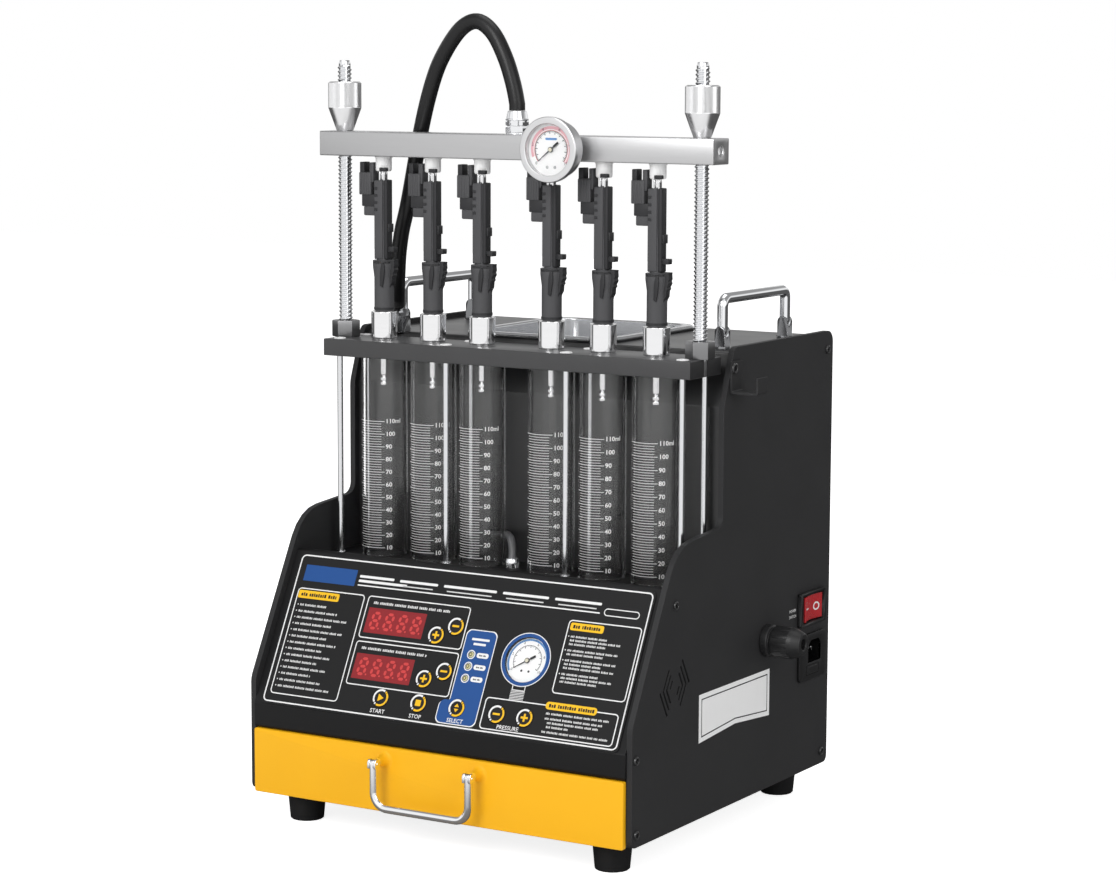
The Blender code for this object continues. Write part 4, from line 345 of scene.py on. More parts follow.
def slab(outline, low, high, holes=(), edge=0.0, segments=2):
    """Fills an outline round its holes and gives it a thickness along Z, with its edges broken."""
    shape = bmesh.new()
    for loop in (outline, *holes):
        corners = [shape.verts.new((x, y, low)) for x, y in loop]
        for pair in zip(corners, corners[1:] + corners[:1]):
            shape.edges.new(pair)
    if holes:
        bmesh.ops.triangle_fill(shape, use_beauty=True, edges=shape.edges)
    else:
        shape.faces.new(shape.verts)
    grown = bmesh.ops.extrude_face_region(shape, geom=shape.faces[:])
    bmesh.ops.translate(shape, vec=(0, 0, high - low),
                        verts=[part for part in grown["geom"] if isinstance(part, bmesh.types.BMVert)])
    bmesh.ops.recalc_face_normals(shape, faces=shape.faces)
    if edge:
        rims = [e for e in shape.edges if len(e.link_faces) == 2
                and abs(e.link_faces[0].normal.z) + abs(e.link_faces[1].normal.z) > 0.9
                and abs(e.link_faces[0].normal.z - e.link_faces[1].normal.z) > 0.5]
        bevel(shape, rims, edge, segments, True)
    return shape


def block(low, high, edge=0.5, segments=2):
    """A block between two corners, all its edges rounded."""
    shape = bmesh.new()
    bmesh.ops.create_cube(shape, size=1.0)
    low, high = Vector(low), Vector(high)
    bmesh.ops.scale(shape, verts=shape.verts, vec=high - low)
    bmesh.ops.translate(shape, verts=shape.verts, vec=(low + high) / 2)
    if edge:
        bevel(shape, shape.edges[:], edge, segments)
    return shape


def as_mesh(name, shape):
    """A shape's mesh; the shape itself is given up."""
    mesh = bpy.data.meshes.new(name)
    shape.to_mesh(mesh)
    shape.free()
    return mesh


def linked(name, data):
    """A new object in the scene."""
    made = bpy.data.objects.new(name, data)
    bpy.context.scene.collection.objects.link(made)
    return made


def from_curve(curve):
    """The mesh of a curve or text, taken before it is placed."""
    holder = linked(curve.name, curve)
    mesh = bpy.data.meshes.new_from_object(holder.evaluated_get(bpy.context.evaluated_depsgraph_get()))
    shape = bmesh.new()
    shape.from_mesh(mesh)
    bpy.data.objects.remove(holder)
    bpy.data.meshes.remove(mesh)
    return shape


def pipe(points, radius, roundness=7):
    """A round bar or tube's skin along a line of points, its ends closed."""
    curve = bpy.data.curves.new("bar", "CURVE")
    curve.dimensions = "3D"
    curve.bevel_depth = radius
    curve.bevel_resolution = roundness
    curve.use_fill_caps = True
    spline = curve.splines.new("POLY")
    spline.points.add(len(points) - 1)
    for target, point in zip(spline.points, points):
        target.co = (*point, 1.0)
    shape = from_curve(curve)
    bmesh.ops.remove_doubles(shape, verts=shape.verts, dist=0.0005)
    return shape


def letters(words, height, align="CENTER", bold=0.0):
    """Words or numbers as a flat mesh, their capitals of the given height."""
    curve = bpy.data.curves.new("print", "FONT")
    curve.body = words
    curve.size = height * 1.37
    curve.align_x = align
    curve.align_y = "CENTER"
    curve.offset = bold
    curve.resolution_u = 2
    return from_curve(curve)


def add(whole, part, place=Matrix(), finish=0):
    """Adds a part to a whole, in its place and with its finish, or with its own finishes where that is None."""
    if finish is not None:
        for face in part.faces:
            face.material_index = finish
    part.transform(place)
    mesh = as_mesh("part", part)
    whole.from_mesh(mesh)
    bpy.data.meshes.remove(mesh)


def at(x=0.0, y=0.0, z=0.0, turn=0.0):
    return Matrix.Translation((x, y, z)) @ Matrix.Rotation(math.radians(turn), 4, "Z")


ALONG_X = Matrix.Rotation(math.radians(90.0), 4, "Y")
FACING_FRONT = Matrix.Rotation(math.radians(90.0), 4, "X")
UPRIGHT_SIDE = ALONG_X @ Matrix.Rotation(math.radians(90.0), 4, "Z")
FROM_SIDE = Matrix(((0, 0, 1, 0), (1, 0, 0, 0), (0, 1, 0, 0), (0, 0, 0, 1)))


def shaded(name, shape, finishes, smooth):
    """An object of a shape, smooth but for the edges sharper than the given angle."""
    mesh = as_mesh(name, shape)
    mesh.polygons.foreach_set("use_smooth", [True] * len(mesh.polygons))
    mesh.set_sharp_from_angle(angle=math.radians(smooth))
    for finish in finishes:
        mesh.materials.append(finish)
    return linked(name, mesh)


def piece(name, shape, body, finishes, place=MACHINE, instead_of=(), smooth=32.0, closed=True,
          even=False):
    """Makes a worked shape a finished piece that rides on a body, and stands for the named nodes."""
    if closed:
        bmesh.ops.recalc_face_normals(shape, faces=shape.faces)
    shape.transform(place)
    made = shaded(name, shape, finishes, smooth)
    if even:
        # large faces keep their own direction beside a small bend
        made.modifiers.new("weigh", "WEIGHTED_NORMAL").keep_sharp = True
    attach(made, body)
    if instead_of:
        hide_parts(*instead_of)


def machine_mm(point):
    """A point of the frame as machine coordinates in millimetres."""
    return Vector((point.x / MM + MIDDLE_X, point.y / MM + MIDDLE_Y, point.z / MM))


def smoothed(node, finishes, choose=None):
    """A node's own shape with its round faces shaded smooth, and each face's finish chosen by its place."""
    shape = bmesh.new()
    shape.from_mesh(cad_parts[node].data)
    bmesh.ops.remove_doubles(shape, verts=shape.verts, dist=0.000002)
    for face in shape.faces:
        face.material_index = choose(machine_mm(face.calc_center_median())) if choose else 0
    piece(node + "_skin", shape, "machine", finishes, Matrix(), (node,), 35.0, closed=False, even=True)


def refinish(node, finish):
    """Gives a node that stays as it is its finish."""
    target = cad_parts[node]
    for entry in target.material_slots:
        entry.link = "OBJECT"
        entry.material = finish


# Camera at the photograph's place and angle

CAMERA_SPOT = (1.27860, -2.11799, 0.64824)
CAMERA_TURNS = (31.036, 7.523, 0.237)
LENS_MM = 94.5


def make_camera():
    yaw, pitch, roll = (math.radians(degrees) for degrees in CAMERA_TURNS)
    ahead = Vector((-math.sin(yaw) * math.cos(pitch), math.cos(yaw) * math.cos(pitch), -math.sin(pitch)))
    right = Vector((math.cos(yaw), math.sin(yaw), 0.0))
    up = right.cross(ahead)
    right, up = (right * math.cos(roll) + up * math.sin(roll), up * math.cos(roll) - right * math.sin(roll))
    lens = bpy.data.cameras.new("camera")
    lens.sensor_fit = "HORIZONTAL"
    lens.sensor_width = 36.0
    lens.lens = LENS_MM
    lens.clip_start = 0.05
    lens.clip_end = 50.0
    camera = linked("camera", lens)
    camera.matrix_world = Matrix.Translation(CAMERA_SPOT) @ Matrix((right, up, -ahead)).transposed().to_4x4()
    bpy.context.scene.camera = camera


# Hose: declared first, because its route comes from the CAD

HOSE_START = (0.0, 130.6, 602.6)
HOSE_R = 6.7
HOSE_ROUTE = (
    (0.0, 0.0, 0.0), (0.0, 0.0, 5.0), (-4.2, 0.2, 22.5), (-12.6, 0.9, 44.0), (-25.6, 2.4, 64.0),
    (-42.2, 4.4, 73.5), (-60.5, 7.0, 67.0), (-80.0, 10.4, 45.5), (-94.4, 15.0, 21.5), (-110.4, 22.2, -17.0),
    (-128.0, 28.4, -79.0), (-138.0, 32.8, -106.0), (-143.6, 36.2, -127.0), (-149.4, 42.6, -152.0),
    (-153.0, 47.4, -169.0), (-153.0, 47.4, -175.2),
)


def smooth_route(points, steps=6):
    """A smooth line through the route's points, straight at both ends."""
    route = [Vector(point) for point in points]
    line = [route[0]]
    for index in range(1, len(route) - 2):
        before, here, after, beyond = route[index - 1:index + 3]
        for step in range(steps):
            t = step / steps
            line.append(0.5 * (2 * here + (after - before) * t + (2 * before - 5 * here + 4 * after - beyond) * t ** 2
                               + (3 * here - before - 3 * after + beyond) * t ** 3))
    return line + route[-2:]


def make_hose():
    start = Vector(HOSE_START)
    line = [start + point for point in smooth_route(HOSE_ROUTE)]
    shape = bmesh.new()
    add(shape, pipe(line, HOSE_R, 9))
    bmesh.ops.recalc_face_normals(shape, faces=shape.faces)
    shape.transform(MACHINE)
    hose = shaded("rail_hose", shape, [HOSE_RUBBER], 40.0)
    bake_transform(hose)
    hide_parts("hose")


# Case

PLAIN_NODES = {
    "side_plate_left": PLATE_COAT, "side_plate_right": PLATE_COAT, "back_panel": BLACK_COAT, "bottom_pan": ZINC,
    "inner_deck": ZINC, "drawer_box": ZINC, "power_supply": SATIN_STEEL, "fluid_tank": TANK_PLASTIC,
    "fluid_pump": MOULDED,
}
FORKS_FROM = 407.5
DRAIN = (-4.0, 131.0)
DRAIN_R = 6.5
DRAIN_HEIGHTS = (217.2, 225.6)
DRAIN_HOSE_FROM = (-50.0, 125.0, 219.5)
DRAIN_HOSE_TO = (3.0, 166.0)


def dress_case():
    for node, finish in PLAIN_NODES.items():
        refinish(node, finish)
    for place in ("front_left", "front_right", "back_left", "back_right"):
        smoothed("foot_" + place, [RUBBER])

    def cover_finish(point):
        return 1 if point.z > FORKS_FROM else 0
    smoothed("upper_cover", [COVER_COAT, FORK_STEEL], cover_finish)

    def front_finish(point):
        near = math.hypot(point.x - DRAIN[0], point.y - DRAIN[1])
        if near < DRAIN_R and DRAIN_HEIGHTS[0] < point.z < DRAIN_HEIGHTS[1]:
            return 1
        (x0, y0, z0), (x1, y1) = DRAIN_HOSE_FROM, DRAIN_HOSE_TO
        return 2 if x0 < point.x < x1 and y0 < point.y < y1 and point.z > z0 else 0
    smoothed("front_panel", [BLACK_COAT, CHROME, DRAIN_HOSE], front_finish)


def screw_head(radius, height):
    """A round socket head: a rim whose lighter edges are a painted highlight, round a hexagon recess painted
    near-black as shade.
    """
    head = bmesh.new()
    crown = [(radius * 0.56, height * 0.3), (radius * 0.6, height * 0.95), (radius * 0.74, height),
             (radius * 0.94, height * 0.8), (radius, height * 0.4), (radius, 0.0)]
    add(head, turned(crown, 0.25, 32))
    # the dark hexagon is painted shade in the socket recess
    add(head, slab(hexagon(radius * 1.2), 0.05, height * 0.32), finish=1)
    return head


SCREW_PLACES = ((72.5, 212.2), (9.9, 97.9), (10.9, 37.7), (342.1, 38.5), (343.1, 395.5))


def make_case_screws():
    right, left = bmesh.new(), bmesh.new()
    for y, z in SCREW_PLACES:
        add(right, screw_head(3.7, 2.0), at(y, z), None)
        add(left, screw_head(3.7, 2.0), at(-y, z), None)
    add(left, screw_head(3.7, 2.0), at(-172.3, 394.0), None)
    piece("right_plate_screws", right, "machine", [SCREW_BLACK, RECESS_SHADE_AND_GAP], RIGHT_FACE)
    piece("left_plate_screws", left, "machine", [SCREW_BLACK, RECESS_SHADE_AND_GAP], LEFT_FACE)


def make_side_label():
    outline = [(114.0, 131.3), (240.0, 131.1), (240.0, 90.6), (177.8, 95.5), (114.0, 91.0)]
    label = bmesh.new()
    add(label, slab(outline, 0.0, 0.25, edge=0.08, segments=1))
    inner = [(119.0, 126.4), (235.0, 126.2), (235.0, 95.9), (177.9, 100.4), (119.0, 96.3)]
    line = [(118.0, 127.4), (236.0, 127.2), (236.0, 94.9), (177.9, 99.4), (118.0, 95.2)]
    add(label, slab(line, 0.24, 0.3, [inner]), finish=1)
    piece("side_label", label, "machine", [LABEL_SILVER, FILM_BLACK_AND_BORE_SHADE], RIGHT_FACE)


# Drawer

POST_X = 46.2
HINGE_Y, HINGE_Z = -16.0, 71.0
BAIL_R = 3.5
BAIL_LOW = 34.6
BAIL_CORNER = 13.0



def make_drawer():
    front = bmesh.new()
    face = slab(oblong(180.4, 27.6, 0.0, (0.0, 54.2)), -5.0, 0.0, edge=0.0)
    uprights = [e for e in face.edges if abs((e.verts[0].co - e.verts[1].co).z) > 1.0]
    bevel(face, uprights, 2.0, 4)
    rims = [e for e in face.edges if min(v.co.z for v in e.verts) > -0.01]
    bevel(face, rims, 1.2, 4)
    add(front, face, FACING_FRONT)
    post = [(0.0, -0.5), (8.2, -0.5), (6.2, 0.5), (4.9, 2.2), (4.1, 5.0), (3.8, 8.6), (3.8, 10.0), (3.2, 10.8)]
    neck = [(0.0, 10.4), (3.0, 10.4), (3.0, 11.6), (1.8, 12.2), (1.8, 13.2), (0.0, 13.2)]
    pin = [(0.0, -4.4), (1.3, -4.4), (1.3, 4.4), (0.0, 4.4)]
    ear = [(-3.6, -3.8), (3.6, -3.8), (3.6, 1.6), (2.2, 3.9), (-2.2, 3.9), (-3.6, 1.6)]
    for x in (-POST_X, POST_X):
        add(front, turned(post + [(0.0, 10.8)], 0.9, 32, 3), at(x, 0.0, HINGE_Z) @ FACING_FRONT)
        for side in (-1, 1):
            add(front, slab(eased(ear, 0.8, 3, True), -1.0, 1.0, edge=0.3),
                at(x + side * 3.0, HINGE_Y, HINGE_Z) @ UPRIGHT_SIDE, 1)
        add(front, turned(neck, 0.3, 24), at(x, 0.0, HINGE_Z) @ FACING_FRONT, 1)
        add(front, turned(pin, 0.4, 20), at(x, HINGE_Y, HINGE_Z) @ ALONG_X, 1)
    piece("drawer_face", front, "drawer", [YELLOW_COAT, CHROME], instead_of=("drawer_front",))

    bail = bmesh.new()
    inner_x, bend_z = POST_X - BAIL_CORNER, BAIL_LOW + BAIL_CORNER
    line = [(-POST_X, HINGE_Y, HINGE_Z), (-POST_X, HINGE_Y, bend_z)]
    line += [(x - inner_x, HINGE_Y, z + bend_z) for x, z in arc(BAIL_CORNER, 180, 270, 10)[1:]]
    line += [(x + inner_x, HINGE_Y, z + bend_z) for x, z in arc(BAIL_CORNER, 270, 360, 10)]
    line += [(POST_X, HINGE_Y, HINGE_Z)]
    add(bail, pipe(line, BAIL_R, 9))
    for x in (-POST_X, POST_X):
        tongue = slab(eased(oblong(3.3, 4.2), 3.0, 5, True), -1.8, 1.8, edge=0.3)
        add(bail, tongue, at(x, HINGE_Y, HINGE_Z - 0.6) @ UPRIGHT_SIDE)
    piece("drawer_bail", bail, "drawer_handle", [CHROME], instead_of=("drawer_handle",))


# Control panel

PRINT_LOW, PRINT_HIGH = -0.01, 0.05


def border(half_x, half_y, radius, width, centre):
    outer = oblong(half_x + width / 2, half_y + width / 2, radius + width / 2, centre)
    inner = oblong(half_x - width / 2, half_y - width / 2, radius - width / 2, centre)
    return slab(outer, PRINT_LOW, PRINT_HIGH, [inner])


def between(x0, x1, s0, s1):
    """Half sizes and the middle of a box given by its sides."""
    return (x1 - x0) / 2, (s1 - s0) / 2, ((x0 + x1) / 2, (s0 + s1) / 2)


def frame_line(x0, x1, s0, s1, radius=2.5, width=0.95):
    half_x, half_s, middle = between(x0, x1, s0, s1)
    return border(half_x, half_s, radius, width, middle)


def patch(x0, x1, s0, s1, radius=1.0, low=PRINT_LOW, high=PRINT_HIGH):
    half_x, half_s, middle = between(x0, x1, s0, s1)
    return slab(oblong(half_x, half_s, min(radius, half_x * 0.98, half_s * 0.98), middle), low, high)


def word_bars(whole, start, end, s, height, seed, finish, high=PRINT_HIGH):
    """A line of small blocks, set out as letters and words are, where small print would stand."""
    line = bmesh.new()
    x, count = start, seed
    while x < end - height:
        for letter in range(3 + (count * 5 + seed) % 6):
            width = height * (0.5, 0.66, 0.42, 0.6)[(count + letter * 3) % 4]
            top = height * (0.5, 0.32, 0.5, 0.34, 0.4)[(count * 2 + letter) % 5]
            if x + width > end:
                break
            corners = [line.verts.new((a, b, high)) for a, b in
                       ((x, s - height * 0.5), (x + width, s - height * 0.5), (x + width, s + top), (x, s + top))]
            line.faces.new(corners)
            x += width + height * 0.2
        x += height * 0.55
        count += 1
    add(whole, line, finish=finish)


def make_film():
    """The printed film: charcoal sheet, red display windows and a clear round over the dial."""
    half_x, half_s = 174.5, (132.45 + 2.3) / 2
    middle_s = (132.45 - 2.3) / 2
    outer = oblong(half_x, half_s, 5.0, (0.0, middle_s), 8)
    windows = [oblong(*WINDOW_HALF, 0.0, place) for place in WINDOWS]
    dial = ring(DIAL_R + 0.4, 64, DIAL)
    keys = [ring(8.25, 40, (x, s)) for x, s, _ in KEYS.values()]
    lamps = [ring(3.0, 24, (LAMP_X, s)) for s in LAMP_HEIGHTS]
    film = bmesh.new()
    add(film, slab(outer, -0.8, 0.0, windows + [dial] + keys + lamps))
    for outline in windows:
        add(film, slab(outline, -0.8, -0.05), finish=1)
    add(film, slab(dial, -0.8, -0.1), finish=2)
    piece("panel_film", film, "machine", [FILM, WINDOW_RED, LENS_GLASS], PANEL, ("panel_overlay",))


SEGMENTS = {
    "top": ((0.16, 0.96), (0.84, 0.96)), "upper_right": ((0.90, 0.90), (0.90, 0.56)),
    "lower_right": ((0.90, 0.44), (0.90, 0.10)), "bottom": ((0.16, 0.04), (0.84, 0.04)),
    "lower_left": ((0.10, 0.44), (0.10, 0.10)), "upper_left": ((0.10, 0.90), (0.10, 0.56)),
    "middle": ((0.16, 0.50), (0.84, 0.50)),
}


def digit_segments(whole, x, s, width, height, finish):
    """One dark seven-segment digit with its point, leaning as such displays do."""
    lean = 0.12
    bar = 1.25
    for (u0, v0), (u1, v1) in SEGMENTS.values():
        start = Vector((x + u0 * width + lean * v0 * height, s + v0 * height))
        end = Vector((x + u1 * width + lean * v1 * height, s + v1 * height))
        along = (end - start).normalized()
        across = Vector((-along.y, along.x)) * bar
        outline = [start, start + along * bar + across, end - along * bar + across, end,
                   end - along * bar - across, start + along * bar - across]
        add(whole, slab([tuple(p) for p in outline], -0.06, 0.02), finish=finish)
    add(whole, slab(ring(0.85, 16, (x + width * 1.2, s + 0.6)), -0.06, 0.02), finish=finish)


def make_print():
    """The lines, tags, boxes and plain bars printed on the film."""
    white, yellow, blue, black, red, grey = range(6)
    ink = bmesh.new()
    for box in ((-172.2, 172.2, 0.0, 130.15, 4.0, 1.2), (-167.0, -98.8, 7.3, 100.8, 3.0), (-94.3, 7.4, 64.8, 100.9),
                (-94.3, 7.4, 24.0, 61.2), (102.5, 169.5, 39.3, 100.6, 3.0)):
        add(ink, frame_line(*box), finish=white)
    add(ink, patch(-165.5, -112.5, 107.7, 122.0, 0.6), finish=blue)
    add(ink, patch(-166.2, -124.0, 92.2, 99.2, 1.6), finish=yellow)
    word_bars(ink, -163.0, -126.5, 95.7, 3.0, 3, black, PRINT_HIGH + 0.04)
    for line in range(14):
        s = 86.4 - line * 5.55
        add(ink, slab(ring(0.62, 10, (-163.6, s)), PRINT_LOW, PRINT_HIGH), finish=grey)
        word_bars(ink, -161.4, -161.4 + 30.0 + (line * 11) % 24, s, 1.9, line, grey)
    title = ((-109.0, -74.0, 117.0, 2.2), (-109.0, -60.0, 113.0, 2.2), (-109.0, 128.0, 109.2, 1.1))
    for x0, x1, s, height in title:
        add(ink, patch(x0, x1, s - height / 2, s + height / 2, 0.5), finish=white)
    for x0, x1 in ((-68.0, -30.0), (-24.0, 28.0), (34.0, 78.0), (84.0, 128.0)):
        add(ink, patch(x0, x1, 115.6, 117.8, 0.9), finish=white)
        add(ink, patch(x0 + 4.0, x1 - 4.0, 112.0, 113.0, 0.4), finish=grey)
    add(ink, border(16.0, 2.8, 2.75, 0.8, (148.0, 110.6)), finish=white)

    for low, x0, x1 in ((95.6, -88.0, -10.0), (55.9, -88.0, -22.0)):
        word_bars(ink, x0, x1, low, 2.3, 2, grey)

    column = [(10.3, 22.0), (10.3, 79.4), (13.3, 82.4), (35.8, 82.4), (38.8, 79.4), (38.8, 5.5), (35.8, 2.5),
              (4.3, 2.5), (1.3, 5.5), (1.3, 19.0), (4.3, 22.0)]
    column = eased(column, 2.0, 3, True)
    middle = Vector((20.0, 42.0))
    swell = [tuple(Vector(p) + Vector((0.8 if p[0] > middle.x else -0.8, 0.8 if p[1] > middle.y else -0.8)))
             for p in column]
    add(ink, slab(swell, PRINT_LOW, PRINT_HIGH - 0.02), finish=white)
    add(ink, slab(column, PRINT_LOW, PRINT_HIGH), finish=blue)
    for width, s in ((17.0, 75.0), (12.0, 71.0)):
        add(ink, patch(24.6 - width / 2, 24.6 + width / 2, s - 1.0, s + 1.0, 0.6, high=PRINT_HIGH + 0.03),
            finish=white)
    for s in LAMP_HEIGHTS:
        add(ink, slab(ring(3.9, 32, (LAMP_X, s)), PRINT_LOW, PRINT_HIGH + 0.03, [ring(3.05, 32, (LAMP_X, s))]),
            finish=white)
        add(ink, patch(24.4, 35.8, s - 2.2, s + 2.2, 2.0, high=PRINT_HIGH + 0.03), finish=white)
        word_bars(ink, 26.8, 33.6, s, 1.3, 1, black, PRINT_HIGH + 0.06)

    for outer, inner, finish in ((22.9, 22.1, white), (22.2, 19.3, blue)):
        add(ink, slab(ring(outer, 72, DIAL), PRINT_LOW, PRINT_HIGH, [ring(inner, 72, DIAL)]), finish=finish)
    for side in ((65.0, 65.7, 37.6, 42.0), (76.7, 77.4, 37.6, 42.0), (65.0, 77.4, 36.9, 37.6)):
        add(ink, patch(*side, 0.2), finish=white)
    for turn in range(6):
        low = 29.2 + turn * 1.3
        wire = [(64.6, low), (77.8, low + 0.35), (77.8, low + 1.05), (64.6, low + 0.7)]
        add(ink, slab(wire, PRINT_LOW, PRINT_HIGH), finish=grey)

    add(ink, frame_line(44.0, 167.5, 2.4, 28.4, 3.0), finish=white)
    add(ink, patch(100.0, 147.5, 25.2, 31.6, 2.8, high=PRINT_HIGH + 0.02), finish=yellow)
    word_bars(ink, 103.0, 145.0, 28.4, 2.9, 5, black, PRINT_HIGH + 0.05)
    lines = ((102, 160, 21.8), (102, 156, 17.6), (105, 152, 14.2), (105, 126, 10.8), (102, 164, 6.6))
    for index, (start, end, s) in enumerate(lines):
        word_bars(ink, start, end, s, 1.75, index + 2, grey)
    add(ink, patch(104.4, 135.4, 92.4, 98.8, 1.6), finish=yellow)
    word_bars(ink, 107.0, 133.0, 95.6, 2.9, 1, black, PRINT_HIGH + 0.04)
    for index, s in enumerate((87.2, 84.0, 80.8, 75.6, 72.4, 67.2, 64.0, 60.8, 55.6, 52.4, 49.2)):
        word_bars(ink, 107.0, 107.0 + 34.0 + (index * 13) % 26, s, 1.75, index + 4, grey)
        if index in (0, 3, 5, 8):
            add(ink, slab(ring(0.6, 10, (105.0, s)), PRINT_LOW, PRINT_HIGH), finish=grey)

    for words, x, s, height in (("START", -56.4, 4.0, 3.6), ("STOP", -19.05, 4.0, 3.6), ("SELECT", 19.6, 5.0, 3.5),
                                ("PRESSURE", 70.2, 5.2, 3.5)):
        add(ink, letters(words, height, bold=0.05), at(x, s, PRINT_HIGH + 0.035), white)
    for x, s in WINDOWS:
        for index in range(4):
            digit_segments(ink, x - WINDOW_HALF[0] + 4.0 + index * 13.6, s - 7.2, 8.2, 14.4, red)
    piece("panel_print", ink, "machine",
          [FILM_WHITE, FILM_YELLOW, FILM_BLUE, FILM_BLACK_AND_BORE_SHADE, SEGMENT_RED, FILM_GREY], PANEL, smooth=20.0,
          closed=False)


def key_symbol(kind):
    if kind in ("plus", "minus"):
        bars = [patch(-3.3, 3.3, -0.85, 0.85, 0.3, 0.3, 0.55)]
        if kind == "plus":
            bars.append(patch(-0.85, 0.85, -3.3, 3.3, 0.3, 0.3, 0.56))
        return bars
    if kind == "start":
        return [slab(eased([(-2.3, -3.2), (3.3, 0.0), (-2.3, 3.2)], 0.5, 2, True), 0.3, 0.55)]
    if kind == "stop":
        return [patch(-2.6, 2.6, -2.6, 2.6, 0.6, 0.3, 0.55)]
    return [slab([(-2.2 * way, 0.8 * way), (2.2 * way, 0.8 * way), (0.0, 3.6 * way)], 0.3, 0.55) for way in (1, -1)]


def make_keys():
    """Each key: a low black cap, its white and yellow ring, and its yellow sign."""
    profile = eased([(0.0, 0.4), (7.3, 0.4), (7.9, 0.05), (7.9, -1.6), (0.0, -1.6)], 0.35, 3)
    for name, (x, s, kind) in KEYS.items():
        key = bmesh.new()
        add(key, lathe(profile, 48))
        for finish, start, end, steps, edge in ((1, 62, 218, 24, 0.06), (2, 246, 398, 24, 0.06), (2, 42, 54, 4, 0.0),
                                                (1, 226, 238, 4, 0.0)):
            add(key, slab(arc_band(5.7, 7.35, start, end, steps), 0.3, 0.5, edge=edge, segments=1), finish=finish)
        for sign in key_symbol(kind):
            add(key, sign, finish=2)
        piece("cap_" + name[4:], key, name, [FILM_BLACK_AND_BORE_SHADE, FILM_WHITE, FILM_YELLOW], PANEL @ at(x, s), (name,))


def make_lamps():
    lamps = bmesh.new()
    dome = [(0.0, 1.0), (1.6, 0.86), (2.5, 0.3), (2.75, -0.4), (2.75, -0.9), (0.0, -0.9)]
    rim = [(1.0, 0.98), (1.3, 1.02), (1.6, 0.94), (1.3, 0.6), (1.0, 0.98)]
    for s in LAMP_HEIGHTS:
        add(lamps, turned(dome, 0.5, 32, 3), at(LAMP_X, s))
        add(lamps, turned(rim, 0.05, 24, 1), at(LAMP_X, s), 1)
    piece("panel_lamps", lamps, "machine", [LAMP_LENS, FILM_BLACK_AND_BORE_SHADE], PANEL)


def dial_marks(whole, radius, low, high, zero, span, numbers, ink, accent, step_count=40):
    """Ticks, a ring and numbers round a dial, from its zero clockwise over its span, in degrees."""
    add(whole, slab(arc_band(radius * 0.70, radius * 0.72, zero, zero - span, 60), low, high), finish=accent)
    for index in range(step_count + 1):
        angle = math.radians(zero - span * index / step_count)
        long = index % 4 == 0
        inner, outer = radius * (0.60 if long else 0.65), radius * 0.72
        half = 0.014 * radius if long else 0.008 * radius
        tick = patch(inner, outer, -half, half, half * 0.5, low, high)
        add(whole, tick, Matrix.Rotation(angle, 4, "Z"), ink)
    for index, number in enumerate(numbers):
        angle = math.radians(zero - span * index / (len(numbers) - 1))
        spot = radius * 0.84
        add(whole, letters(str(number), radius * 0.125), at(spot * math.cos(angle), spot * math.sin(angle), high), ink)


def make_panel_dial():
    cup = -3.4
    face = bmesh.new()
    disc = eased([(0.0, cup + 0.25), (19.4, cup + 0.25), (19.4, cup + 0.02), (0.0, cup + 0.02)], 0.05, 1)
    add(face, lathe(disc, 72))
    dial_marks(face, 18.4, cup + 0.24, cup + 0.32, 213.0, 246.0, (0, 2, 4, 6, 8, 10), 1, 1)
    add(face, slab(arc_band(16.9, 18.6, 213, -33, 60), cup + 0.23, cup + 0.27), finish=2)
    for x in (-3.4, 3.4):
        add(face, turned([(0.0, cup + 0.7), (0.9, cup + 0.6), (1.1, cup + 0.2), (0.0, cup + 0.2)], 0.2, 20),
            at(x, -8.8), 1)
    piece("panel_dial_face", face, "machine", [DIAL_WHITE, POINTER_BLACK, DIAL_BLUE], PANEL @ at(*DIAL), closed=False)
    smoothed("panel_gauge_case", [MOULDED])
    make_pointer("panel_pointer", "panel_gauge_pointer", 18.8, 213.0, PANEL @ at(*DIAL, -2.4))


def make_pointer(name, body, radius, zero, place):
    """A slim tapering pointer with a heavy tail and a cream cap over its hub."""
    hand = bmesh.new()
    tip, tail = radius * 0.74, radius * 0.44
    outline = [(-tail, -0.95), (-tail * 0.45, -0.95), (-tail * 0.35, -0.5), (1.6, -0.55), (tip, -0.14), (tip, 0.14),
               (1.6, 0.55), (-tail * 0.35, 0.5), (-tail * 0.45, 0.95), (-tail, 0.95)]
    add(hand, slab(outline, -0.15, 0.2, edge=0.05, segments=1), Matrix.Rotation(math.radians(zero), 4, "Z"))
    add(hand, turned([(0.0, 0.6), (2.15, 0.55), (2.25, 0.2), (2.25, -0.45), (0.0, -0.45)], 0.1, 32))
    add(hand, turned([(0.0, 0.95), (1.4, 0.9), (1.75, 0.5), (1.75, -0.4), (0.0, -0.4)], 0.3, 28, 3), finish=1)
    piece(name, hand, body, [POINTER_BLACK, BOSS_CREAM], place, (body,))


# Tube bay

MARK_10_Z = 225.1
MM_PER_ML = 1.1014


